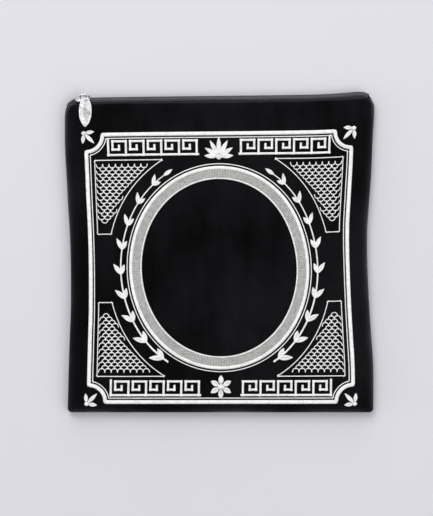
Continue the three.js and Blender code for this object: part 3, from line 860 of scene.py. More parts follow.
class PathRepeater(NodeWriter):
    """A Geometry Nodes tree that repeats a small item along paths that lie on a surface.

    The paths are a mesh of edges whose points carry the attributes half, slant, up and pace.
    """

    def __init__(self) -> None:
        """Build the tree once, its named inputs first."""
        super().__init__(bpy.data.node_groups.new("repeat_along_paths", "GeometryNodeTree"))
        kinds = {"Geometry": "Geometry", "Item": "Object", "Seed": "Int", "Finish": "Material"}
        numbers = ("Pitch", "Item Width", "Item Height", "Slant Jitter", "Height Jitter", "Flip Alternate")
        for name, kind in {**kinds, **dict.fromkeys(numbers, "Float")}.items():
            self.tree.interface.new_socket(name, in_out="INPUT", socket_type=f"NodeSocket{kind}")
        self.tree.interface.new_socket("Geometry", in_out="OUTPUT", socket_type="NodeSocketGeometry")
        self._write()

    def _attribute(self, name: str, kind: str = "FLOAT") -> Socket:
        """Return an attribute of the paths' points."""
        node = self.add("GeometryNodeInputNamedAttribute", {"Name": name}, data_type=kind)
        return node.outputs["Attribute"]

    def _jitter(self, amount: Socket, seed: Socket, offset: int) -> Socket:
        """Return a random value up to an amount either side of nothing."""
        low, own_seed = self.calc("MULTIPLY", amount, -1.0), self.calc("ADD", seed, offset)
        node = self.add("FunctionNodeRandomValue", {2: low, 3: amount, "Seed": own_seed}, data_type="FLOAT")
        return node.outputs[1]

    def _write(self) -> None:
        """Write the nodes: even points on each path, a turned and sized item at each, and its finish."""
        given = self.add("NodeGroupInput").outputs
        seed = given["Seed"]
        curve = self.add("GeometryNodeMeshToCurve", {"Mesh": given["Geometry"]}).outputs["Curve"]
        step = self.calc("MULTIPLY", given["Pitch"], self._attribute("pace"))
        spaced = self.add("GeometryNodeResampleCurve", {"Curve": curve, "Length": step}, mode="LENGTH")
        tangent = self.add("GeometryNodeInputTangent").outputs["Tangent"]
        axes = {"Primary Axis": self._attribute("up", "FLOAT_VECTOR"), "Secondary Axis": tangent}
        frame = self.add("FunctionNodeAxesToRotation", axes, primary_axis="Z", secondary_axis="X")
        parity = self.calc("MODULO", self.add("GeometryNodeInputIndex").outputs["Index"], 2.0)
        flip = self.calc("MULTIPLY", self.calc("MULTIPLY", parity, given["Flip Alternate"]), math.pi)
        slant = self.calc("ADD", self._attribute("slant"), self._jitter(given["Slant Jitter"], seed, 1))
        turns = {"Axis": (0, 0, 1), "Angle": self.calc("ADD", slant, flip)}
        turn = self.add("FunctionNodeAxisAngleToRotation", turns)
        rotations = {"Rotation": frame.outputs["Rotation"], "Rotate By": turn.outputs["Rotation"]}
        turned = self.add("FunctionNodeRotateRotation", rotations, rotation_space="LOCAL")
        taller = self.calc("ADD", self._jitter(given["Height Jitter"], seed, 2), 1.0)
        height = self.calc("MULTIPLY", given["Item Height"], taller)
        sizes = {"X": given["Item Width"], "Y": self._attribute("half"), "Z": height}
        items = {
            "Points": spaced.outputs["Curve"],
            "Instance": self.add("GeometryNodeObjectInfo", {"Object": given["Item"]}).outputs["Geometry"],
            "Rotation": turned.outputs["Rotation"],
            "Scale": self.add("ShaderNodeCombineXYZ", sizes).outputs["Vector"],
        }
        placed = self.add("GeometryNodeInstanceOnPoints", items).outputs["Instances"]
        real = self.add("GeometryNodeRealizeInstances", {"Geometry": placed}).outputs["Geometry"]
        finish = self.add("GeometryNodeSetMaterial", {"Geometry": real, "Material": given["Finish"]})
        self.add("NodeGroupOutput", {"Geometry": finish.outputs["Geometry"]})

    @staticmethod
    def paths(name: str, lines: Sequence[SewnLine]) -> Object:
        """Make the mesh of edges that items are repeated along.

        Args:
            name: the object's name.
            lines: the lines.

        Returns:
            The object, in metres.
        """
        edges, first = [], 0
        for line in lines:
            last = first + len(line.points) - 1
            edges += [(i, i + 1) for i in range(first, last)]
            if line.closes:
                edges.append((last, first))
            first = last + 1
        mesh = bpy.data.meshes.new(name)
        mesh.from_pydata((np.vstack([line.points for line in lines]) * METRES).tolist(), edges, [])
        values = {
            "half": np.concatenate([line.half for line in lines]) * METRES,
            "slant": np.concatenate([line.slant for line in lines]),
            "pace": np.concatenate([np.full(len(line.points), line.pace) for line in lines]),
        }
        for kind, value in values.items():
            mesh.attributes.new(kind, "FLOAT", "POINT").data.foreach_set("value", value)
        ups = np.vstack([line.up for line in lines])
        mesh.attributes.new("up", "FLOAT_VECTOR", "POINT").data.foreach_set("vector", ups.ravel())
        return linked(name, mesh)

    def repeat(self, name: str, lines: Sequence[SewnLine], what: Repeat) -> Object:
        """Repeat an item along lines.

        Args:
            name: the new piece's name.
            lines: the lines.
            what: the item and how it is repeated.

        Returns:
            The repeated items as one plain mesh.
        """
        paths, inputs = self.paths(f"{name}_paths", lines), what.inputs()
        modifier = paths.modifiers.new("repeat", "NODES")
        modifier.node_group = self.tree
        for socket in self.tree.interface.items_tree:
            if socket.in_out == "INPUT" and socket.name in inputs:
                modifier[socket.identifier] = inputs[socket.name]
        bpy.context.view_layer.update()
        depsgraph = bpy.context.evaluated_depsgraph_get()
        mesh = bpy.data.meshes.new_from_object(paths.evaluated_get(depsgraph))
        mesh.name = name
        old = paths.data
        bpy.data.objects.remove(paths)
        bpy.data.meshes.remove(old)
        for attribute in ("half", "slant", "up", "pace"):
            if attribute in mesh.attributes:
                mesh.attributes.remove(mesh.attributes[attribute])
        return linked(name, mesh)


class StrandRow(NamedTuple):
    """A cross-section of the stitch: place along, height of its middle, half thickness, half width."""

    along: float
    middle: float
    thick: float
    wide: float


def make_strand() -> Object:
    """Make the one stitch that is repeated: an arched thread one unit to each side.

    Returns:
        The stitch, hidden in renders.
    """
    rows = (
        StrandRow(-1.0, 0.12, 0.1, 0.6),
        StrandRow(-0.74, 0.74, 0.2, 1),
        StrandRow(0.74, 0.74, 0.2, 1),
        StrandRow(1.0, 0.12, 0.1, 0.6),
    )
    rings = [np.array([(-w, y, z), (0, y, z - t), (w, y, z), (0, y, z + t)]) / METRES for y, z, t, w in rows]
    strand = loft_object("one_stitch", rings, False)
    strand.hide_render = True
    return strand


@dataclass
class SlackCloth:
    """The front's velvet, let go a little between its seams and its stitching by a cloth simulation."""

    sizes: "PatternSizes"
    cells: int = 78
    frames: int = 30
    size: float = 10
    slack: float = 0.02
    seam_reach: Tuple[float, float] = (0.5, 3.0)
    free_hold: float = 0.12
    pinned: float = 0.99
    sewn_hold: float = 0.5
    field_margin: float = 4
    key_margin: float = 6
    share: float = 0.42
    most: float = 0.7
    weight: float = 0.02
    mass: float = 0.3
    stretching: float = 12
    shearing: float = 8
    bending: float = 3
    quality: int = 6
    fine_blur: float = 1.3
    broad_blur: float = 7
    unevenness: float = 0.06
    seed: int = 4

    def holds(self, flat: Array) -> Array:
        """Find how firmly the cloth is held: fully at the seams, less under stitching.

        Args:
            flat: flat pattern points, one row each.

        Returns:
            The hold at each point, from 0 to 1.
        """
        s, form = self.sizes, self.sizes.form
        across, y = np.abs(flat[:, 0]), flat[:, 1]
        tall = form.height - form.mouth_strip
        from_end = np.minimum(y + form.height / 2, tall - form.height / 2 - y)
        near_seam = 1 - smooth_step(*self.seam_reach, np.minimum(form.width / 2 - across, from_end))
        out = np.hypot(across / s.ring_half_width, (y - (s.top + s.bottom) / 2) / s.ring_half_height)
        in_ring = (out < 1.0) & (out > 1 - s.ring_band / s.ring_half_width)
        inside = (across < s.half_width) & (y < s.top) & (y > s.bottom)
        free = (across < s.half_width - self.field_margin) & (y < s.key_top - self.key_margin)
        free &= y > s.key_bottom + self.key_margin
        sewn = np.where(in_ring | (inside & ~free), self.sewn_hold, self.free_hold)
        return np.maximum(sewn, near_seam)

    def hang(self, start: Array, holds: Array) -> Object:
        """Make the coarse cloth and let it go.

        Args:
            start: the cloth's points, one row each.
            holds: how firmly each is held.

        Returns:
            The cloth with its modifier.
        """
        count = self.cells + 1
        index = np.arange(count * count).reshape(count, count)
        a, b, c, d = index[:-1, :-1], index[:-1, 1:], index[1:, 1:], index[1:, :-1]
        faces = np.column_stack([corner.ravel() for corner in (a, b, c, d)])
        cloth = mesh_object("slack_cloth", start * self.size, faces.tolist())
        group = cloth.vertex_groups.new(name="held")
        for i, hold in enumerate(holds):
            group.add([i], float(hold), "REPLACE")
        modifier = cloth.modifiers.new("cloth", "CLOTH")
        settings = modifier.settings
        settings.quality, settings.mass = self.quality, self.mass
        settings.tension_stiffness = settings.compression_stiffness = self.stretching
        settings.shear_stiffness, settings.bending_stiffness = self.shearing, self.bending
        settings.vertex_group_mass = group.name
        settings.pin_stiffness = 1
        settings.shrink_min = -self.slack
        settings.effector_weights.gravity = self.weight
        modifier.point_cache.frame_start, modifier.point_cache.frame_end = 1, self.frames
        return cloth

    def run(self) -> Array:
        """Simulate the cloth.

        Returns:
            The height gained or lost in millimetres, on an even grid of rows up the panel.
        """
        form, scene = self.sizes.form, bpy.context.scene
        tall, count = form.height - form.mouth_strip, self.cells + 1
        share = np.linspace(-1, 1, count)
        uu, vv = np.meshgrid(share, share)
        flat = np.column_stack([uu.ravel() * form.width / 2, (vv.ravel() + 1) / 2 * tall - form.height / 2])
        start = form.on_cloth(flat, 0)
        uneven = np.random.default_rng(self.seed).normal(0, self.unevenness, len(flat))
        holds = self.holds(flat)
        start_z = start[:, 2] + uneven * (holds < self.pinned)
        cloth = self.hang(np.column_stack([start[:, :2], start_z]), holds)
        scene.frame_start, scene.frame_end = 1, self.frames
        for frame in range(1, self.frames + 1):
            scene.frame_set(frame)
        settled = cloth.evaluated_get(bpy.context.evaluated_depsgraph_get()).to_mesh()
        ends = np.empty(len(settled.vertices) * 3)
        settled.vertices.foreach_get("co", ends)
        gained = ends.reshape(-1, 3)[:, 2] / METRES / self.size - start[:, 2]
        mesh = cloth.data
        bpy.data.objects.remove(cloth)
        bpy.data.meshes.remove(mesh)
        scene.frame_set(1)
        LOG.info("slack cloth: from %.2f to %.2f mm", gained.min(), gained.max())
        fine = self.blurred(gained.reshape(count, count), self.fine_blur)
        wave = fine - self.blurred(fine, self.broad_blur)
        LOG.info("slack cloth: waves from %.2f to %.2f mm", wave.min(), wave.max())
        return self.most * np.tanh(self.share * wave / self.most)

    @staticmethod
    def blurred(grid: Array, width: float) -> Array:
        """Blur a grid.

        Args:
            grid: the grid.
            width: the blur's width in cells.

        Returns:
            The blurred grid.
        """
        reach = math.ceil(3 * width)
        weights = np.exp(-0.5 * (np.arange(-reach, reach + 1) / width) ** 2)
        weights /= weights.sum()
        padded = np.pad(grid, reach, mode="edge")
        rows = np.apply_along_axis(np.convolve, 1, padded, weights, "valid")
        return np.apply_along_axis(np.convolve, 0, rows, weights, "valid")


class Side(Enum):
    """Which stretch of a panel a station stands on."""

    LOW = "rolled edge at the low end"
    MIDDLE = "between the rolled edges"
    HIGH = "rolled edge at the high end"


class Station(NamedTuple):
    """A line of points on a panel: its stretch, its roll's reach, and its angle or its place."""

    side: Side
    reach: float
    value: float


@dataclass
class VelvetPanel:
    """One velvet panel as a thin closed dish of fine cells."""

    form: PouchForm
    name: str
    strip: float
    top_roll: float
    cell: float
    surface: Callable[[Array, Array, Array, float], Array]
    top_corners: Tuple[Corner, Corner]
    roll_steps: int = 8

    def stations(self, length: float, low_roll: float, high_roll: float) -> List[Station]:
        """Space the stations along one direction.

        Args:
            length: the panel's length that way.
            low_roll: reach of the roll at the low end.
            high_roll: reach of the roll at the high end.

        Returns:
            The stations in order.
        """
        turns = [math.pi / 2 * i / self.roll_steps for i in range(self.roll_steps + 1)]
        count = round((length - low_roll - high_roll) / self.cell)
        step = (length - low_roll - high_roll) / count
        low = [Station(Side.LOW, low_roll, angle) for angle in turns]
        middle = [Station(Side.MIDDLE, 0.0, low_roll + step * i) for i in range(1, count)]
        return low + middle + [Station(Side.HIGH, high_roll, angle) for angle in reversed(turns)]

    @staticmethod
    def spaced(stations: Sequence[Station], low: Array, high: Array, length: float, inset: float) -> Array:
        """Place stations between two edges.

        Args:
            stations: the stations.
            low: each station's low edge.
            high: each station's high edge.
            length: the length that the stations are spaced for.
            inset: how much wall is taken off.

        Returns:
            Each station's places, a row for each station.
        """
        rows = []
        for (side, reach, value), start, end in zip(stations, low, high):
            if side is Side.LOW:
                rows.append(start + inset + (reach - inset) * (1 - math.cos(value)))
            elif side is Side.HIGH:
                rows.append(end - inset - (reach - inset) * (1 - math.cos(value)))
            else:
                rows.append(start + value * (end - start) / length)
        return np.array(rows)

    def shares(self, stations: Sequence[Station], length: float) -> Tuple[Array, Array]:
        """Find where stations stand on the unworked panel.

        Args:
            stations: the stations.
            length: the panel's length that way.

        Returns:
            Each one's share from -1 to 1, and the share of its full height that its roll has.
        """
        count = len(stations)
        places = self.spaced(stations, np.zeros(count), np.full(count, length), length, 0.0)
        rolls = [1.0 if s.side is Side.MIDDLE else math.sin(s.value) for s in stations]
        return 2 * places / length - 1, np.array(rolls)

    def face(self, inset: float) -> Array:
        """Find one face's points.

        Args:
            inset: how much wall is taken off.

        Returns:
            The points as rows up the panel.
        """
        form, tall = self.form, self.form.height - self.strip
        across = self.stations(form.width, form.roll_width, form.roll_width)
        upward = self.stations(tall, form.roll_width, self.top_roll)
        u, roll_across = self.shares(across, form.width)
        v, roll_up = self.shares(upward, tall)
        uu, vv = np.meshgrid(u, v)
        left, right = form.side_edges(vv)
        x = self.spaced(across, left.T, right.T, form.width, inset).T
        from_side = np.minimum(x - left, right - x)
        drops = [form.corner_drop(corner, from_side, inset) for corner in self.top_corners]
        top = form.top_level(uu) - self.strip - np.where(uu < 0, *drops)
        bottom = -form.height / 2 + form.corner_drop(form.bottom_corner, from_side, inset)
        y = self.spaced(upward, bottom, top, tall, inset)
        z = self.surface(uu, vv, roll_up[:, None] * roll_across[None, :], inset)
        return np.dstack([x, y + form.shift_y, z])

    def build(self, finish: Material, node: str) -> Object:
        """Make the panel.

        Args:
            finish: its velvet.
            node: the CAD node that it stands for.

        Returns:
            The panel.
        """
        outer, inner = self.face(0.0), self.face(self.form.wall)
        rows, columns = outer.shape[:2]
        shift = rows * columns
        index = np.arange(shift).reshape(rows, columns)
        a, b = index[:-1, :-1].ravel(), index[:-1, 1:].ravel()
        c, d = index[1:, 1:].ravel(), index[1:, :-1].ravel()
        faces = np.vstack([np.column_stack([a, b, c, d]), np.column_stack([a, d, c, b]) + shift])
        loop = np.concatenate([index[0, :-1], index[:-1, -1], index[-1, :0:-1], index[:0:-1, 0]])
        after = np.roll(loop, -1)
        rim = np.column_stack([loop, loop + shift, after + shift, after])
        points = np.vstack([outer.reshape(-1, 3), inner.reshape(-1, 3)])
        obj = mesh_object(self.name, points, np.vstack([faces, rim]).tolist())
        face_outwards(obj)
        obj.data.materials.append(finish)
        return enter(obj, node)


@dataclass
class PatternSizes:
    """Driving sizes of the embroidery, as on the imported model."""

    form: PouchForm
    side_margin: float = 12.7
    top_margin: float = 23.5
    bottom_margin: float = 5.9
    rail: float = 2.6
    notch: float = 11
    key_height: float = 10.4
    key_line: float = 1.5
    key_inset: float = 2.4
    key_start: float = 14.5
    key_units: int = 5
    key_end_gap: float = 4.8
    ring_band: float = 8.6
    ring_from_side: float = 27.3
    ring_from_top: float = 22.3
    leaf_pairs: int = 9
    leaf_length: float = 8.6
    leaf_width: float = 3.3
    stem_offset: float = 5.6
    stem_from: float = -1.02
    stem_to: float = 1.0
    field_offset: float = 14.6
    field_foot: float = 9.0
    scale_pitch: float = 4.2

    @property
    def half_width(self) -> float:
        """Half the embroidery's width."""
        return self.form.width / 2 - self.side_margin

    @property
    def top(self) -> float:
        """The embroidery's upper edge."""
        return self.form.height / 2 - self.top_margin

    @property
    def bottom(self) -> float:
        """The embroidery's lower edge."""
        return self.bottom_margin - self.form.height / 2

    @property
    def key_pitch(self) -> float:
        """Length of one key."""
        return (self.half_width - self.notch - self.key_end_gap - self.key_start) / self.key_units

    @property
    def key_top(self) -> float:
        """Middle height of the upper key bands."""
        return self.top - self.rail - self.key_inset - self.key_height / 2

    @property
    def key_bottom(self) -> float:
        """Middle height of the lower key bands."""
        return self.bottom + self.rail + self.key_inset + self.key_height / 2

    @property
    def ring_half_width(self) -> float:
        """Half the oval's width at its outer edge."""
        return self.half_width - self.ring_from_side

    @property
    def ring_half_height(self) -> float:
        """Half the oval's height at its outer edge."""
        return (self.top - self.bottom) / 2 - self.ring_from_top

    def on_oval(self, angle: Array, outside: float) -> Tuple[Array, Array]:
        """Find places beside the oval.

        Args:
            angle: the oval's parameter.
            outside: distance outside the oval's outer edge.

        Returns:
            Points, one row each, and the outward angles.
        """
        angle = np.asarray(angle, float)
        x, y = self.ring_half_width * np.cos(angle), self.ring_half_height * np.sin(angle)
        normal = np.arctan2(y / self.ring_half_height**2, x / self.ring_half_width**2)
        middle = (self.top + self.bottom) / 2
        place = np.column_stack([x + outside * np.cos(normal), middle + y + outside * np.sin(normal)])
        return place, normal


class KeyTurn(NamedTuple):
    """A corner of a key: quarter pitches along, and half heights up."""

    along: float
    up: float


class LeafPlace(NamedTuple):
    """How a leaf stands: its angle or its turn from the stem, and its reach or its share of the usual."""

    turn: float
    reach: float


@dataclass
class Embroidery:
    """All stitching on the front panel, as runs laid over the cloth and sewn by the repeater."""

    sizes: PatternSizes
    repeater: PathRepeater
    strand: Object
    threads: Dict[str, Material]
    pieces: List[Object] = field(default_factory=list)
    longest_step: float = 2.5
    over_cloth: float = 0.03
    height_jitter: float = 0.07
    pad_levels: Tuple[float, float] = (0.02, 0.5)
    pad_foot: float = 0.9
    pad_top: float = 0.82
    leaf_points: int = 9
    leaf_blunt: float = 0.1
    leaf_fullness: float = 0.8
    leaf_least: float = 0.22
    leaf_overlap: float = 1.16
    leaf_slant: float = 0.5
    notch_points: int = 9
    rail_slant: float = 0.16
    key_slant: float = 0.1
    key_past: float = 0.42
    key_turns: Tuple[KeyTurn, ...] = (
        KeyTurn(0, -1),
        KeyTurn(0, 1),
        KeyTurn(3, 1),
        KeyTurn(3, -0.2),
        KeyTurn(1.55, -0.2),
        KeyTurn(1.55, 0.32),
    )
    oval_points: int = 120
    outer_rim: float = 2.3
    inner_rim: float = 1.0
    rim_slants: Tuple[float, float] = (0.3, 0.2)
    filling_rows: int = 11
    filling_margin: float = 0.1
    stem_points: int = 40
    stem_widths: Tuple[float, float] = (1.4, 0.8)
    stem_slant: float = 0.5
    first_pair: float = 0.03
    last_pair: float = 0.93
    lowest_leaf: float = 1.05
    leaf_taper: float = 0.3
    leaf_pair: Tuple[LeafPlace, ...] = (LeafPlace(0.42, 0.8), LeafPlace(-0.62, 1.0))
    tip_leaf: Tuple[float, float] = (6.4, 2.5)
    fan_droop: float = 0.55
    root_share: float = 0.8
    dot_share: float = 0.72
    dot_end: float = 0.96
    dot_points: int = 9
    line_stitch: float = 1.75
    scale_stitch: float = 1.25
    scale_points: int = 9
    scale_margin: float = 0.9
    arc_points: int = 400
    arc_thinning: int = 12
    field_side: float = 4.0
    field_top: float = 2.6
    beside_rail: float = 1.2
    beside_oval: float = 1.3

    def underlay(self, runs: Sequence[StitchRun], finish: Material) -> Object:
        """Make the padding under satin runs as low closed bands.

        Args:
            runs: the runs.
            finish: the padding's thread.

        Returns:
            The padding as one mesh.
        """
        form, (low, high) = self.sizes.form, self.pad_levels
        points, faces, first = [], [], 0
        for run in runs:
            path, count = run.path, len(run.path)
            ahead = np.roll(path, -1, axis=0) - path
            behind = path - np.roll(path, 1, axis=0)
            if not run.closes:
                ahead[-1], behind[0] = behind[-1], ahead[0]
            lead = ahead / np.linalg.norm(ahead, axis=1, keepdims=True)
            lead = lead + behind / np.linalg.norm(behind, axis=1, keepdims=True)
            lead /= np.linalg.norm(lead, axis=1, keepdims=True)
            side = np.column_stack([-lead[:, 1], lead[:, 0]]) * (run.half * self.pad_foot)[:, None]
            ring = [
                form.on_cloth(path + side, low),
                form.on_cloth(path - side, low),
                form.on_cloth(path - side * self.pad_top, high),
                form.on_cloth(path + side * self.pad_top, high),
            ]
            points.append(np.stack(ring, axis=1).reshape(-1, 3))
            faces += loft_faces(count, len(ring), run.closes, first)
            first += len(ring) * count
        pad = face_outwards(mesh_object("underlay", np.vstack(points), faces))
        pad.data.materials.append(finish)
        return pad

    def sew(
        self,
        name: str,
        kind: StitchKind,
        groups: Sequence[Sequence[StitchRun]],
        seed: int,
        node: Optional[str] = None,
        slot: str = "thread",
    ) -> None:
        """Sew runs into one piece.

        Args:
            name: the piece's name.
            kind: how its threads lie.
            groups: its runs, in groups with an unevenness of their own.
            seed: seed of the unevenness.
            node: the CAD node that the piece stands for.
            slot: which of the threads the piece is sewn in.
        """
        form, lay, finish, parts = self.sizes.form, kind.value, self.threads[slot], []
        for number, runs in enumerate(groups):
            fine = [run.refined(self.longest_step) for run in runs]
            lines = []
            for run in fine:
                points, out = form.on_cloth(run.path, self.over_cloth), form.cloth_normal(run.path)
                lines.append(SewnLine(points, run.half, run.slant, out, run.closes, run.pace))
            what = Repeat(self.strand, finish, *lay, self.height_jitter, 0.0, seed * 10 + number)
            parts.append(self.repeater.repeat(f"{name}_{number}", lines, what))
            if kind is StitchKind.SATIN:
                parts.append(self.underlay(fine, finish))
        self.pieces.append(enter(join_pieces(name, parts), node))

    def leaf(self, root: Array, angle: float, length: float, width: float) -> List[StitchRun]:
        """Draw a leaf's two halves, whose threads slant from the midrib.

        Args:
            root: the leaf's root.
            angle: the way that it points.
            length: its length.
            width: its width.

        Returns:
            The two runs.
        """
        shares = np.linspace(0, 1, self.leaf_points)
        across = np.clip(shares * (1 - self.leaf_blunt) + self.leaf_blunt, 0, 1)
        half = np.maximum(width * np.sin(np.pi * across) ** self.leaf_fullness / 2, self.leaf_least)
        direction = np.array([math.cos(angle), math.sin(angle)])
        side = np.array([-direction[1], direction[0]])
        runs = []
        for sign in (1, -1):
            path = root + np.outer(shares * length, direction) + np.outer(half / 2 * sign, side)
            runs.append(StitchRun.satin(path, half * self.leaf_overlap, self.leaf_slant * sign))
        return runs

    def border_path(self, inset: float) -> Array:
        """Draw the border's closed line with its notched corners.

        Args:
            inset: how far it is drawn in.

        Returns:
            The line's points, one row each.
        """
        s, last = self.sizes, self.notch_points - 1
        past = inset - s.rail / 2
        radius = s.notch + past
        lead = math.asin(past / radius)
        half, top, bottom = s.half_width - s.rail / 2, s.top - s.rail / 2, s.bottom + s.rail / 2
        points = []
        for x, y, start in (
            (-half, bottom, math.pi / 2),
            (half, bottom, math.pi),
            (half, top, -math.pi / 2),
            (-half, top, 0.0),
        ):
            for i in range(self.notch_points):
                angle = start - lead - (math.pi / 2 - 2 * lead) * i / last
                points.append((x + radius * math.cos(angle), y + radius * math.sin(angle)))
        return np.array(points)

    def border(self) -> None:
        """Sew the outer rail."""
        rail = StitchRun.satin(self.border_path(self.sizes.rail / 2), self.sizes.rail, self.rail_slant, True)
        self.sew("border_rail", StitchKind.SATIN, [[rail]], 3, "border_frame")

    def key_bands(self) -> None:
        """Sew the four key bands."""
        s = self.sizes
        half, step = (s.key_height - s.key_line) / 2, s.key_pitch / 4
        end = s.key_start + s.key_units * s.key_pitch
        lines = [[(s.key_start - s.key_line / 2, -half), (end, -half), (end, half + s.key_line / 2)]]
        for i in range(s.key_units):
            x = s.key_start + i * s.key_pitch
            lines.append([(x + along * step, up * half) for along, up in self.key_turns])
        for place, centre, sign in (
            ("top_left", s.key_top, -1),
            ("top_right", s.key_top, 1),
            ("bottom_left", s.key_bottom, -1),
            ("bottom_right", s.key_bottom, 1),
        ):
            runs = []
            for line in lines:
                for a, b in zip(np.array(line[:-1]), np.array(line[1:])):
                    ahead = (b - a) / np.linalg.norm(b - a) * s.key_line * self.key_past
                    path = np.array([a - ahead, b + ahead]) * [sign, 1] + [0, centre]
                    runs.append(StitchRun.satin(path, s.key_line, self.key_slant))
            self.sew(f"key_stitches_{place}", StitchKind.SATIN, [runs], 5, f"key_band_{place}")

    def ring(self) -> None:
        """Sew the oval: a bright rim, a grey filling in short steps and a fine inner rim."""
        s = self.sizes
        angles = np.linspace(0, 2 * math.pi, self.oval_points, endpoint=False)
        rims = []
        middles = (-self.outer_rim / 2, -s.ring_band + self.inner_rim / 2)
        for middle, width, slant in zip(middles, (self.outer_rim, self.inner_rim), self.rim_slants):
            rims.append(StitchRun.satin(s.on_oval(angles, middle)[0], width, slant, True))
        self.sew("oval_rims", StitchKind.SATIN, [rims], 7)
        first = -self.outer_rim - self.filling_margin
        rows = np.linspace(first, -s.ring_band + self.inner_rim + self.filling_margin, self.filling_rows)
        rounds = [s.on_oval(np.append(angles, 0.0), row)[0] for row in rows]
        lengths = [float(np.linalg.norm(np.diff(line, axis=0), axis=1).sum()) for line in rounds]
        pitch, tiny = StitchKind.FILL.value.pitch, 0.001
        count = round(lengths[0] / pitch)
        filling = []
        for i, (row, length) in enumerate(zip(rows, lengths)):
            speed = float(np.linalg.norm(np.diff(s.on_oval(np.array([0, tiny]), row)[0], axis=0))) / tiny
            turn = (i % 2) * length / count / 2 / speed
            stitch = self.line_stitch * length / lengths[0]
            pace = length / (count + 0.5) / pitch
            filling.append(StitchRun.line(s.on_oval(angles + turn, row)[0], stitch, True, pace))
        self.sew("oval_filling", StitchKind.FILL, [filling], 8, "medallion_ring", "thread_grey")

    def laurels(self) -> None:
        """Sew the two branches beside the oval."""
        s = self.sizes
        for side, sign in (("left", -1), ("right", 1)):

            def sprig(share: float, turn: float, length: float, width: float) -> List[StitchRun]:
                """Draw a leaf that grows from the stem at a share of its length."""
                at = np.array([s.stem_from + (s.stem_to - s.stem_from) * share])
                place, normal = s.on_oval(at, s.stem_offset)
                angle = float(normal[0]) + math.pi / 2 + turn
                return self.leaf(place[0] * [sign, 1], angle if sign > 0 else math.pi - angle, length, width)

            places, _ = s.on_oval(np.linspace(s.stem_from, s.stem_to, self.stem_points), s.stem_offset)
            widths = np.linspace(*self.stem_widths, self.stem_points)
            runs = [StitchRun.satin(places * [sign, 1], widths, self.stem_slant)]
            for i in range(s.leaf_pairs):
                share = self.first_pair + (self.last_pair - self.first_pair) * i / (s.leaf_pairs - 1)
                scale = self.lowest_leaf - self.leaf_taper * share
                for turn, reach in self.leaf_pair:
                    runs += sprig(share, turn, s.leaf_length * scale * reach, s.leaf_width * scale)
            runs += sprig(1.0, 0.0, *self.tip_leaf)
            self.sew(f"laurel_branch_{side}", StitchKind.SATIN, [runs], 9, f"laurel_{side}")

    def burst(
        self,
        name: str,
        node: str,
        middle: Tuple[float, float],
        core: float,
        leaves: Sequence[LeafPlace],
        width: float,
    ) -> None:
        """Sew leaves about a round core.

        Args:
            name: the piece's name.
            node: the CAD node that the piece stands for.
            middle: the core's place.
            core: the core's radius.
            leaves: each leaf's angle and reach.
            width: width of the leaves.
        """
        centre, root, dot = np.array(middle), core * self.root_share, core * self.dot_share
        runs: List[StitchRun] = []
        for angle, reach in leaves:
            start = centre + root * np.array([math.cos(angle), math.sin(angle)])
            runs += self.leaf(start, angle, reach - root, width)
        t = np.linspace(-self.dot_end, self.dot_end, self.dot_points)
        across = centre + np.column_stack([t * dot, np.zeros_like(t)])
        runs.append(StitchRun.satin(across, 2 * dot * np.sqrt(1 - t * t)))
        self.sew(name, StitchKind.SATIN, [runs], 11, node)

    def fanned(self, middle: float, spread: float, count: int, reach: float) -> List[LeafPlace]:
        """Return leaves that spread as a fan about an angle, the outer ones shorter."""
        shares = [i / (count - 1) - 0.5 for i in range(count)]
        return [LeafPlace(middle + spread * t, reach * (1 - self.fan_droop * abs(t))) for t in shares]

    def motifs(self) -> None:
        """Sew the palmette, the rosette and the corner fans."""
        s = self.sizes
        leaves = self.fanned(math.pi / 2, spread=3, count=7, reach=12.8)
        self.burst("palmette_stitches", "palmette", (0, s.key_top - 6.2), core=2.6, leaves=leaves, width=2.9)
        petals = [LeafPlace(2 * math.pi * (i + 0.5) / 6, 7.4) for i in range(6)]
        self.burst("rosette_stitches", "rosette", (0, s.key_bottom + 0.9), core=2.8, leaves=petals, width=3.4)
        for side, y, angle, place in (
            (-1, s.bottom, math.pi / 4, "bottom_left"),
            (1, s.bottom, 3 * math.pi / 4, "bottom_right"),
            (-1, s.top, -math.pi / 4, "top_left"),
            (1, s.top, -3 * math.pi / 4, "top_right"),
        ):
            leaves = self.fanned(angle, spread=1.8, count=3, reach=0.84 * s.notch)
            corner, name = (side * s.half_width, y), f"corner_stitches_{place}"
            self.burst(name, f"corner_fan_{place}", corner, core=1.9, leaves=leaves, width=2.5)

    def spandrel(self, margin: float) -> Array:
        """Draw the outline of the upper right scale field.

        Args:
            margin: how far it is drawn in.

        Returns:
            Its points about the embroidery's middle, one row each.
        """
        s = self.sizes
        middle, side = (s.top + s.bottom) / 2, s.half_width - s.rail - self.field_side - margin
        level = s.key_top - s.key_height / 2 - self.field_top - margin
        arc, _ = s.on_oval(np.linspace(0, math.pi / 2, self.arc_points), s.field_offset + margin)
        arc = arc[(arc[:, 0] < side - s.field_foot) & (arc[:, 1] < level)]
        corners = np.array([(arc[-1, 0], level), (side, level), (side, arc[0, 1])])
        return np.vstack([arc[:: self.arc_thinning], arc[-1:], corners]) - [0, middle]

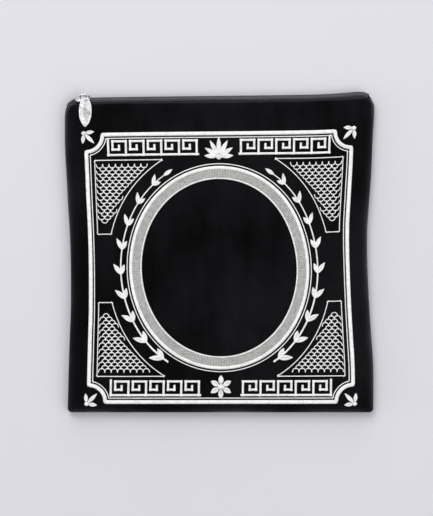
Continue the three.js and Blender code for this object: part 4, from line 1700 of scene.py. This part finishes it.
    def scales(self) -> None:
        """Sew the fine scale filling of the four corners and the line round each field."""
        s = self.sizes
        radius, shift = s.scale_pitch / 2, np.array([0, (s.top + s.bottom) / 2])
        field_line, inner = self.spandrel(0.0), self.spandrel(self.scale_margin)
        (side, level), foot = inner.max(axis=0), inner[:, 1].min()
        wide = s.ring_half_width + s.field_offset + self.scale_margin
        tall = s.ring_half_height + s.field_offset + self.scale_margin
        angles = np.linspace(math.pi, 2 * math.pi, self.scale_points)
        arcs = []
        for i, y in enumerate(np.arange(level - radius, foot, -radius)):
            for x in np.arange(side - radius - (i % 2) * radius, 0, -2 * radius):
                arc = np.column_stack([x + radius * np.cos(angles), y + radius * np.sin(angles)])
                outside = (arc[:, 0] / wide) ** 2 + (arc[:, 1] / tall) ** 2 > 1
                if outside.all() and arc[:, 1].min() > foot and arc[:, 0].max() < side + 0.01:
                    arcs.append(arc)
        runs, edges = [], []
        for turn in ((1, 1), (-1, 1), (1, -1), (-1, -1)):
            runs += [StitchRun.line(arc * turn + shift, self.scale_stitch) for arc in arcs]
            edges.append(StitchRun.line(field_line * turn + shift, self.line_stitch, True))
        self.sew("scale_filling", StitchKind.LINE, [runs, edges], 13)

    def lines(self) -> None:
        """Sew the thin single lines inside the rail and round the oval."""
        angles = np.linspace(0, 2 * math.pi, self.oval_points, endpoint=False)
        paths = (
            self.border_path(self.sizes.rail + self.beside_rail),
            self.sizes.on_oval(angles, self.beside_oval)[0],
        )
        runs = [StitchRun.line(path, self.line_stitch, True) for path in paths]
        self.sew("thin_lines", StitchKind.LINE, [runs], 15)

    def build(self) -> List[Object]:
        """Sew everything.

        Returns:
            The pieces.
        """
        self.border()
        self.key_bands()
        self.ring()
        self.laurels()
        self.motifs()
        self.scales()
        self.lines()
        return self.pieces


class Row(NamedTuple):
    """A row of the coil's turns: its place across, how far they reach, their flip and their pitch."""

    name: str
    across: float
    reach: float
    flip: float
    pitch: float


class TurnRow(NamedTuple):
    """A cross-section of one turn: its place across, its height and its half width."""

    across: float
    up: float
    wide: float


@dataclass
class Zip:
    """The closed coil and its two tapes along the pouch's mouth."""

    form: PouchForm
    repeater: PathRepeater
    offset: float = 2.4
    height: float = 5.65
    tilt: float = math.pi / 4
    chain_half: float = 1.95
    chain_low: float = 0.45
    chain_high: float = 1.45
    tape_half: float = 0.25
    tape_inner: float = 1.0
    tape_front: float = 3.0
    tape_back: float = 2.6
    tape_rib: Tuple[Tuple[float, float], ...] = ((0, -1), (1, -1), (1, 1), (0.5, 1), (0.3, 0.6), (0, 1))
    bend_reach: float = 8
    fine_step: float = 0.5
    coarse_step: float = 2.0
    line_step: float = 0.8
    tape_start: float = 3.3
    chain_start: float = 2.8
    chain_end: float = 4.8
    tooth_pitch: float = 0.66
    tooth_width: float = 0.66
    free_shift: float = 0.62
    slider_from_left: float = 12.0
    slider_half: float = 1.0
    core_share: float = 0.62
    core_half: float = 0.14
    core_height: float = 0.3
    core_end: float = 0.6
    sewn_step: float = 0.9
    sewn_from: float = 5.2
    sewn_end: float = 0.5
    sewn_across: float = 1.28
    sewn_half: float = 0.62
    sewn_sunk: float = 0.12
    tack_end: float = 0.4
    tack_reach: Tuple[float, float] = (-1.8, 1.9)
    tack_points: int = 12
    tack_half: float = 0.8
    tack_slant: float = 0.12
    tack_sunk: float = 0.4
    sewn_lay: ThreadLay = ThreadLay(1.0, 0.17, 0.36, 0.08)
    tack_lay: ThreadLay = ThreadLay(0.3, 0.19, 0.5, 0.08)
    height_jitter: float = 0.1
    coil_seed: int = 21
    stitch_seed: int = 31

    @property
    def half(self) -> float:
        """Half the pouch's width."""
        return self.form.width / 2

    def middle(self, x: Array) -> Array:
        """Find the middle of the tapes' plane.

        Args:
            x: places across.

        Returns:
            Points, one row each.
        """
        from_side = np.minimum(x + self.half, self.half - x)
        drop = self.form.corner_drop(self.form.mouth_corner, from_side, 0)
        y = self.form.top_level(x / self.half) - drop - self.offset + self.form.shift_y
        return np.column_stack([x, y, np.full_like(x, self.height)])

    def frame(self, x: Union[float, Array]) -> Tuple[Array, Array, Array, Array]:
        """Find how the zip lies.

        Args:
            x: places across.

        Returns:
            The middle, the direction along, across to the front, and out, one row for each place.
        """
        x, step = np.atleast_1d(np.asarray(x, float)), 0.2
        along = self.middle(x + step) - self.middle(x - step)
        along /= np.linalg.norm(along, axis=1, keepdims=True)
        inward = np.column_stack([along[:, 1], -along[:, 0], np.zeros(len(x))])
        front = inward * math.cos(self.tilt) + np.array([0, 0, math.sin(self.tilt)])
        out = np.cross(along, front)
        out *= np.sign(out[:, 2:3])
        return self.middle(x), along, front, out

    def strip(
        self, name: str, start: float, end: float, section: Sequence[Tuple[float, float]], finish: Material
    ) -> Object:
        """Make a strip along the zip.

        Args:
            name: the piece's name.
            start: its left end.
            end: its right end.
            section: its cross-section, as places across and over the tapes' plane.
            finish: its material.

        Returns:
            The strip.
        """
        bend = -self.half + self.bend_reach
        fine, coarse = np.arange(start, bend, self.fine_step), np.arange(bend, end, self.coarse_step)
        x = np.unique([v for v in (*fine, *coarse, end) if start <= v <= end])
        centre, _, front, out = self.frame(x)
        rings = [centre + front * a + out * o for a, o in section]
        points = np.stack(rings, axis=1).reshape(-1, 3)
        strip = face_outwards(mesh_object(name, points, loft_faces(len(x), len(section), False)))
        strip.data.materials.append(finish)
        return strip

    def tapes(self, finish: Material) -> List[Object]:
        """Make the two woven tapes, each with a low rib at its inner edge.

        Args:
            finish: their material.

        Returns:
            The tapes.
        """
        made = []
        start, end = self.tape_start - self.half, self.half - self.chain_end
        for place, inner, outer in (
            ("front", self.tape_inner, self.tape_front),
            ("back", -self.tape_inner, -self.tape_back),
        ):
            section = [(inner + (outer - inner) * a, self.tape_half * o) for a, o in self.tape_rib]
            tape = self.strip(f"woven_tape_{place}", start, end, section, finish)
            made.append(enter(tape, f"zip_tape_{place}"))
        return made

    @staticmethod
    def tooth() -> Object:
        """Make one turn of the coil, which reaches from its tape's side over the middle line.

        Returns:
            The turn, one unit wide to each side, long and high.
        """
        rows = (
            TurnRow(1.0, 0.05, 0.5),
            TurnRow(1.0, 0.45, 0.66),
            TurnRow(0.82, 0.78, 0.74),
            TurnRow(0.4, 0.9, 0.74),
            TurnRow(-0.12, 0.86, 0.8),
            TurnRow(-0.34, 0.62, 0.84),
            TurnRow(-0.34, 0.3, 0.5),
        )
        rings, sides, thick = [], 6, 0.22
        for y, z, wide in rows:
            for k in range(sides):
                angle = 2 * math.pi * k / sides
                rings.append((wide * math.cos(angle), y, z + thick * math.sin(angle)))
        tooth = mesh_object("coil_turn", np.array(rings) / METRES, loft_faces(len(rows), sides, False))
        tooth.hide_render = True
        return face_outwards(tooth)

    def coil(self, finish: Material) -> Object:
        """Make the coil: interlocked turns where it is shut, and two free rows at its left end.

        Args:
            finish: its material.

        Returns:
            The coil.
        """
        tooth, parts = self.tooth(), []
        start, end = self.chain_start - self.half, self.half - self.chain_end
        split = -self.half + self.slider_from_left - self.slider_half
        free, shift = self.chain_half - self.free_shift, self.free_shift
        for row, low, high in (
            (Row("shut", 0.0, self.chain_half, 1.0, self.tooth_pitch), split, end),
            (Row("free_front", shift, free, 0.0, 2 * self.tooth_pitch), start, split),
            (Row("free_back", -shift, free, 0.0, 2 * self.tooth_pitch), start, split),
        ):
            centre, _, front, out = self.frame(np.arange(low, high, self.line_step))
            points = centre + front * row.across + out * self.chain_low
            away = math.pi if row.across >= 0 else 0.0
            line = SewnLine.even(points, row.reach, away, out)
            width, rise = self.tooth_pitch * self.tooth_width, self.chain_high - self.chain_low
            what = Repeat(tooth, finish, row.pitch, width, rise, flip=row.flip, seed=self.coil_seed)
            parts.append(self.repeater.repeat(row.name, [line], what))
        bpy.data.objects.remove(tooth)
        low, high = self.chain_low, self.chain_low + self.core_height
        for across in (-1, 1):
            edge = across * self.chain_half * self.core_share
            inner, outer = edge - self.core_half, edge + self.core_half
            section = [(inner, low), (outer, low), (outer, high), (inner, high)]
            parts.append(self.strip("core", start, end - self.core_end, section, finish))
        return enter(join_pieces("nylon_coil", parts), "zip_coil")

    def stitches(self, strand: Object, finish: Material) -> Object:
        """Sew the two rows that hold the coil to its tapes, and the tack across its right end.

        Args:
            strand: the stitch that is repeated.
            finish: the thread's material.

        Returns:
            The stitches as one piece.
        """
        right = self.half - self.chain_end
        left = self.slider_from_left + self.sewn_from - self.half
        centre, _, front, out = self.frame(np.arange(left, right - self.sewn_end, self.sewn_step))
        rows = []
        for across in (-self.sewn_across, self.sewn_across):
            points = centre + front * across + out * (self.chain_high - self.sewn_sunk)
            rows.append((SewnLine.even(points, self.sewn_half, math.pi / 2, out), self.sewn_lay))
        end, _, end_front, end_out = (found[0] for found in self.frame(right - self.tack_end))
        steps = np.linspace(*self.tack_reach, self.tack_points)
        points = end + np.outer(steps, end_front) + end_out * (self.chain_high - self.tack_sunk)
        rows.append((SewnLine.even(points, self.tack_half, self.tack_slant, end_out), self.tack_lay))
        parts = []
        for number, (line, lay) in enumerate(rows):
            what = Repeat(strand, finish, *lay, self.height_jitter, 0.0, self.stitch_seed + number)
            parts.append(self.repeater.repeat(f"zip_stitches_{number}", [line], what))
        return enter(join_pieces("zip_stitches", parts))


@dataclass
class MetalPieces:
    """Shapes that the slider and the pull are made of."""

    @staticmethod
    def plate(outline: Array, low: float, high: float, bevel: float) -> Object:
        """Make a plate with rounded edges from a convex outline.

        Args:
            outline: points round the plate, one row each.
            low: underside.
            high: upper side.
            bevel: size of the edge rounding.

        Returns:
            The plate as an object.
        """
        inward = outline.mean(axis=0) - outline
        inward /= np.linalg.norm(inward, axis=1, keepdims=True)
        soft = bevel * 0.3
        profile = [(bevel, low), (soft, low + soft), (0, low + bevel)]
        profile += [(0, high - bevel), (soft, high - soft), (bevel, high)]
        rings = [np.column_stack([outline + inward * i, np.full(len(outline), z)]) for i, z in profile]
        return loft_object("plate", rings, False)

    @staticmethod
    def shield(start: float, end: float, wide: float, narrow: float) -> Array:
        """Draw a rounded outline, wide at its start and narrow at its end.

        Args:
            start: where it starts.
            end: where it ends.
            wide: half width at its start.
            narrow: half width at its end.

        Returns:
            Points round it, one row each.
        """
        angle, square, taper = np.linspace(0, 2 * math.pi, 40, endpoint=False), 0.55, 1.5
        x = np.sign(np.cos(angle)) * np.abs(np.cos(angle)) ** square
        y = np.sign(np.sin(angle)) * np.abs(np.sin(angle)) ** square
        share = (x + 1) / 2
        return np.column_stack([start + (end - start) * share, y * (wide + (narrow - wide) * share**taper)])

    @staticmethod
    def bar(path: Array, across: Array, radius: float, sides: int = 14) -> Object:
        """Make a round bar along a path that lies in a plane.

        Args:
            path: points along the bar, one row each.
            across: direction square to the path's plane.
            radius: the bar's radius.
            sides: how many sides the bar has.

        Returns:
            The bar as an object.
        """
        lead = np.gradient(path, axis=0)
        lead /= np.linalg.norm(lead, axis=1, keepdims=True)
        over = np.cross(lead, across)
        angles = np.linspace(0, 2 * math.pi, sides, endpoint=False)
        rings = [
            point + radius * (np.outer(np.cos(angles), across) + np.outer(np.sin(angles), side))
            for point, side in zip(path, over)
        ]
        return loft_object("bar", rings, False)

    @staticmethod
    def moved(obj: Object, turn: Array, shift: Sequence[float]) -> Object:
        """Turn and shift a mesh in its points.

        Args:
            obj: the mesh's object.
            turn: a turning matrix.
            shift: the shift in millimetres.

        Returns:
            The same object.
        """
        points = np.empty(len(obj.data.vertices) * 3)
        obj.data.vertices.foreach_get("co", points)
        placed = points.reshape(-1, 3) @ np.asarray(turn).T + np.asarray(shift) * METRES
        obj.data.vertices.foreach_set("co", placed.ravel())
        obj.data.update()
        return obj


class PlateRow(NamedTuple):
    """A plate of the slider: its ends, half widths there, levels, edge rounding and place aside."""

    start: float
    end: float
    wide: float
    narrow: float
    low: float
    high: float
    bevel: float
    aside: float = 0.0


@dataclass
class Slider(MetalPieces):
    """The metal slider with its crown, near the zip's left end."""

    zip: Zip
    plates: Tuple[PlateRow, ...] = (
        PlateRow(-4.9, 4.9, 2.8, 2.408, 1.8, 2.7, 0.3),
        PlateRow(-3.7, 3.5, 1.7, 1.35, 2.6, 2.92, 0.2),
        PlateRow(-3.9, 3.9, 1.3, 1.3, -1.4, -0.6, 0.2),
        PlateRow(-3.6, -1.4, 0.7, 0.7, -1.3, 2.6, 0.05),
        PlateRow(-3.1, 2.7, 0.25, 0.25, 0.65, 2.4, 0.08, -2.4735),
        PlateRow(-3.1, 2.7, 0.25, 0.25, 0.65, 2.4, 0.08, 2.4735),
        PlateRow(-2.5, -0.6, 1.05, 1.05, 2.5, 3.2, 0.25),
        PlateRow(3.3, 4.8, 1.05, 1.05, 2.5, 3.2, 0.25),
    )
    crown_centre: float = 1.35
    crown_half: float = 2.9
    crown_height: float = 5.6
    crown_radius: float = 0.65
    crown_bend: float = 1.1
    crown_foot: float = 2.4
    crown_from: float = 3.3
    crown_steps: int = 8

    def basis(self) -> Tuple[Array, Array]:
        """Return the slider's own axes, one column each, and its middle."""
        x = self.zip.slider_from_left - self.zip.half
        centre, along, _, out = (rows[0] for rows in self.zip.frame(x))
        return np.column_stack([along, np.cross(out, along), out]), centre

    def crown(self) -> Object:
        """Make the arched crown that the pull turns on.

        Returns:
            The crown.
        """
        bend, half, high = self.crown_bend, self.crown_half, self.crown_height
        path = [(-half, 0, self.crown_foot), (-half, 0, self.crown_from)]
        for i in range(self.crown_steps + 1):
            angle = math.pi - math.pi / 2 * i / self.crown_steps
            path.append((-half + bend + bend * math.cos(angle), 0, high - bend + bend * math.sin(angle)))
        path += [(-x, y, z) for x, y, z in reversed(path)]
        line = np.array(path) + [self.crown_centre, 0, 0]
        return self.bar(line, np.array([0.0, 1.0, 0.0]), self.crown_radius)

    def build(self, finish: Material) -> Object:
        """Make the slider.

        Args:
            finish: its metal.

        Returns:
            The slider.
        """
        parts = []
        for start, end, wide, narrow, low, high, bevel, aside in self.plates:
            plate = self.plate(self.shield(start, end, wide, narrow), low, high, bevel)
            parts.append(self.moved(plate, np.eye(3), [0, aside, 0]))
        parts.append(self.crown())
        slider = self.moved(join_pieces("slider_body", parts), *self.basis())
        slider.data.materials.append(finish)
        return enter(slider, "zip_slider")


class OutlineRow(NamedTuple):
    """The pull's half width at a share of its length."""

    along: float
    half: float


class RimRow(NamedTuple):
    """A line round the pull's rim: how far in from the outline, and how far over the middle."""

    inset: float
    up: float


@dataclass
class Pull(MetalPieces):
    """The long oval pull: a raised rim about a pebbled field with a fine inner line, a neck and an eye."""

    slider: Slider
    along_crown: float = 0.7
    eye_outer: float = 1.75
    eye_inner: float = 1.05
    eye_half: float = 0.9
    neck_to: float = 3.6
    plate_from: float = 2.6
    plate_to: float = 21.4
    half: float = 4.15
    neck_half_thick: float = 0.4
    rim_half_thick: float = 0.6
    rim: Tuple[RimRow, ...] = (
        RimRow(0.0, 0.25),
        RimRow(0.05, 0.42),
        RimRow(0.16, 0.55),
        RimRow(0.32, 0.6),
        RimRow(0.62, 0.6),
        RimRow(0.76, 0.52),
        RimRow(0.9, 0.4),
    )
    field_shares: Tuple[float, ...] = (0.9, 0.8, 0.72, 0.69, 0.66, 0.63, 0.6, 0.5, 0.4, 0.3, 0.2, 0.1, 0.03)
    under_shares: Tuple[float, ...] = (0.1, 0.4, 0.7)
    under_dome: float = 0.05
    rest: float = 0.35
    past_rim: float = 1.5
    feel_step: float = 0.4
    line_share: float = 0.66
    line_rise: float = 0.14
    line_width: float = 0.025
    field_dome: float = 0.1
    rows: Tuple[OutlineRow, ...] = (
        OutlineRow(0.0, 0.34),
        OutlineRow(0.06, 0.6),
        OutlineRow(0.14, 0.79),
        OutlineRow(0.25, 0.93),
        OutlineRow(0.36, 0.985),
        OutlineRow(0.48, 1.0),
        OutlineRow(0.62, 0.95),
        OutlineRow(0.78, 0.76),
        OutlineRow(0.9, 0.48),
        OutlineRow(0.97, 0.26),
        OutlineRow(1.0, 0.12),
    )

    def pivot(self) -> Array:
        """Return the middle of the crown's bar, which the pull turns on."""
        turn, centre = self.slider.basis()
        return turn @ [self.slider.crown_centre + self.along_crown, 0, self.slider.crown_height] + centre

    def tilt(self) -> float:
        """Find the tilt at which the pull's underside rests on the front panel.

        Returns:
            The angle, in radians.
        """
        form = replace(self.slider.zip.form, slack=None)
        pivot, found = self.pivot(), 0.0
        flat_y = pivot[1] - form.shift_y
        rim = float(form.top_level(pivot[0] / (form.width / 2))) - form.mouth_strip - self.past_rim
        for reach in np.arange(self.plate_from, self.plate_to + 0.01, self.feel_step):
            for side in (-1, 0, 1):
                surface = form.on_cloth(np.array([[pivot[0] + side * self.half, flat_y - reach]]), 0)[0]
                over = surface[2] + self.rest + self.rim_half_thick - pivot[2]
                if surface[1] - form.shift_y < rim:
                    found = max(found, math.atan2(over, reach))
        return found

    def outline(self, sides: int = 84) -> Array:
        """Draw the plate's closed outline with evenly spaced, rounded points.

        Args:
            sides: how many points it has.

        Returns:
            The points, one row each.
        """
        share = np.linspace(0, 1, 200)
        half = self.half * smooth_table(self.rows, share)[0]
        y = -(self.plate_from + (self.plate_to - self.plate_from) * share)
        line = np.vstack([np.column_stack([half, y]), np.column_stack([-half, y])[::-1]])
        for _ in range(2):
            ahead = np.roll(line, -1, axis=0)
            line = np.stack([0.75 * line + 0.25 * ahead, 0.25 * line + 0.75 * ahead], axis=1).reshape(-1, 2)
        loop = np.vstack([line, line[:1]])
        length = np.concatenate([[0], np.cumsum(np.linalg.norm(np.diff(loop, axis=0), axis=1))])
        at = np.linspace(0, length[-1], sides, endpoint=False)
        return np.column_stack([np.interp(at, length, loop[:, 0]), np.interp(at, length, loop[:, 1])])

    def face(self) -> Tuple[Object, int]:
        """Make the plate.

        Returns:
            The plate, and the index of the first point of its upper field.
        """
        outline = self.outline()
        middle = np.array([0, -(self.plate_from + self.plate_to) / 2])
        away = outline - middle
        reach = np.linalg.norm(away, axis=1, keepdims=True)
        wide, field_z = self.rim[-1]
        inner = away * (1 - wide / reach)
        levels = [(middle + inner * s, -field_z - self.under_dome * (1 - s)) for s in self.under_shares]
        levels += [(middle + away * (1 - inset / reach), -z) for inset, z in reversed(self.rim)]
        levels += [(middle + away * (1 - inset / reach), z) for inset, z in self.rim]
        first = (len(levels) - 1) * len(outline)
        for s in self.field_shares:
            line = self.line_rise * math.exp(-(((s - self.line_share) / self.line_width) ** 2))
            levels.append((middle + inner * s, field_z + self.field_dome * (1 - s) + line))
        rings = [np.column_stack([points, np.full(len(outline), z)]) for points, z in levels]
        return loft_object("pull_plate", rings, False), first

    def eye(self) -> Object:
        """Make the eye round the crown's bar.

        Returns:
            The eye.
        """
        low, high, edge, soft = self.eye_inner, self.eye_outer, self.eye_half, 0.2
        profile = [(-edge + soft, low), (edge - soft, low), (edge, low + soft), (edge, high - soft)]
        profile += [(edge - soft, high), (-edge + soft, high), (-edge, high - soft), (-edge, low + soft)]
        x, reach = np.array(profile).T
        angles = np.linspace(0, 2 * math.pi, 36, endpoint=False)
        rings = [np.column_stack([x, reach * math.cos(a), reach * math.sin(a)]) for a in angles]
        return loft_object("eye", rings, True)

    def neck(self) -> Object:
        """Make the neck between the eye and the plate.

        Returns:
            The neck.
        """
        edge, slim, thick = self.eye_half, 0.15, self.neck_half_thick
        block = [(-edge, -slim), (-edge + slim, -thick), (edge - slim, -thick), (edge, -slim)]
        block += [(-x, -z) for x, z in block]
        start = -(self.eye_inner + self.eye_outer) / 2
        widths = ((start, 1.0), (-2.4, 0.92), (-3.0, 1.1), (-self.neck_to, 1.5))
        ends = [np.array([(x * wider, y, z) for x, z in block]) for y, wider in widths]
        return loft_object("neck", ends, False)

    def build(self, plain: Material, pebbled: Material) -> Object:
        """Make the pull where it rests.

        Args:
            plain: finish of the rim, the neck and the eye.
            pebbled: finish of the field.

        Returns:
            The pull.
        """
        plate, first = self.face()
        parts = [plate, self.eye(), self.neck()]
        for piece in parts:
            piece.data.materials.append(plain)
            piece.data.materials.append(pebbled)
        for face in plate.data.polygons:
            if min(face.vertices) >= first:
                face.material_index = 1
        tilt = self.tilt()
        sine, cosine = math.sin(tilt), math.cos(tilt)
        turn = np.array([[1, 0, 0], [0, cosine, sine], [0, -sine, cosine]])
        pull = self.moved(join_pieces("pull_body", parts), turn, self.pivot())
        return enter(pull, "pull_tag", PULL_BODY)


class Lamp(NamedTuple):
    """A square soft lamp: its place and its side in metres, and its power in watts."""

    name: str
    place: Triple
    size: float
    power: float


@dataclass
class Studio:
    """Pale floor, soft lamps and the camera over the pouch."""

    plaster: Material
    floor_side: float = 3000
    pixel: float = 0.652
    frame_height: int = 516
    aim: Tuple[float, float] = (-1.96, -3.85)
    distance: float = 1700
    focus_height: float = 4
    sensor: float = 36
    farthest: float = 20
    sky: Tuple[float, ...] = (0.93, 0.94, 1, 1)
    sky_strength: float = 0.52
    lamps: Tuple[Lamp, ...] = (
        Lamp("key", (-0.6, 1.2, 1.5), 1.1, 20),
        Lamp("fill", (1.1, -0.5, 1.4), 1.3, 10.5),
        Lamp("low_top", (0.2, 1.7, 0.45), 1.0, 7.5),
        Lamp("low_side", (-1.5, -0.1, 0.4), 0.8, 4),
    )

    def floor(self) -> None:
        """Lay the floor."""
        side = self.floor_side
        corners = np.array([(-side, -side, 0), (side, -side, 0), (side, side, 0), (-side, side, 0)])
        floor = mesh_object("floor", corners, [(0, 1, 2, 3)], False)
        floor.data.materials.append(self.plaster)

    def camera(self) -> None:
        """Hang the camera straight over the pouch, its top towards the zip."""
        data = bpy.data.cameras.new("camera")
        data.sensor_fit = "AUTO"
        data.sensor_width = self.sensor
        data.lens = self.sensor * self.distance / (self.frame_height * self.pixel)
        data.clip_end = self.farthest
        camera = linked("camera", data)
        camera.location = Vector((*self.aim, self.distance + self.focus_height)) * METRES
        bpy.context.scene.camera = camera

    def light(self) -> None:
        """Hang the lamps, each facing the pouch, and set the sky."""
        for name, place, size, power in self.lamps:
            data = bpy.data.lights.new(name, "AREA")
            data.size, data.energy = size, power
            lamp = linked(name, data)
            lamp.location = place
            lamp.rotation_euler = (-Vector(place)).to_track_quat("-Z", "Y").to_euler()
        world = bpy.data.worlds.new("sky")
        world.use_nodes = True
        background = world.node_tree.nodes["Background"]
        background.inputs["Color"].default_value = self.sky
        background.inputs["Strength"].default_value = self.sky_strength
        bpy.context.scene.world = world
        bpy.context.scene.view_settings.view_transform = "Standard"

    def build(self) -> None:
        """Set up the whole studio."""
        self.floor()
        self.camera()
        self.light()


def main() -> None:
    """Build the pouch piece by piece over its frame, and report each piece."""
    logging.basicConfig(level=logging.INFO, format="%(name)s %(message)s")
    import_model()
    form = PouchForm()
    form = replace(form, slack=SlackCloth(PatternSizes(form)).run())
    repeater = PathRepeater()
    velvet, plating = Velvet().build(), Plating().build()
    bright, grey = Thread().build(), Thread("grey_thread", (0.7, 0.7, 0.665), (0.52, 0.52, 0.49), 0.5).build()
    Studio(Plaster().build()).build()

    mouth, corners = form.mouth_strip, (form.top_left, form.top_right)
    front = VelvetPanel(form, "velvet_front", mouth, form.mouth_roll_width, 1.5, form.front_height, corners)
    front_piece = front.build(velvet, "front_panel")
    corners = (form.mouth_corner, form.mouth_corner)
    back = VelvetPanel(form, "velvet_back", 0.0, form.roll_width, 3.0, form.back_height, corners)
    back_piece = back.build(velvet, "back_panel")

    strand = make_strand()
    threads = {"thread": bright, "thread_grey": grey}
    stitched = Embroidery(PatternSizes(form), repeater, strand, threads).build()
    zip_line = Zip(form, repeater)
    tapes = zip_line.tapes(Woven().build())
    coil = zip_line.coil(Nylon().build())
    black = Thread("black_thread", (0.045, 0.047, 0.053), (0.02, 0.021, 0.024), 0.5).build()
    zip_stitches = zip_line.stitches(strand, black)
    bpy.data.objects.remove(strand)
    slider = Slider(zip_line)
    slider_piece = slider.build(plating)
    pebbled = Plating("pebbled_nickel", (0.68, 0.68, 0.66), (0.32, 0.32, 0.32), 0.95).build()
    pull = Pull(slider).build(plating, pebbled)
    for piece in (front_piece, back_piece, *stitched, *tapes, coil, zip_stitches, slider_piece, pull):
        LOG.info("%s: %d faces", piece.name, len(piece.data.polygons))


if __name__ == "__main__":
    main()
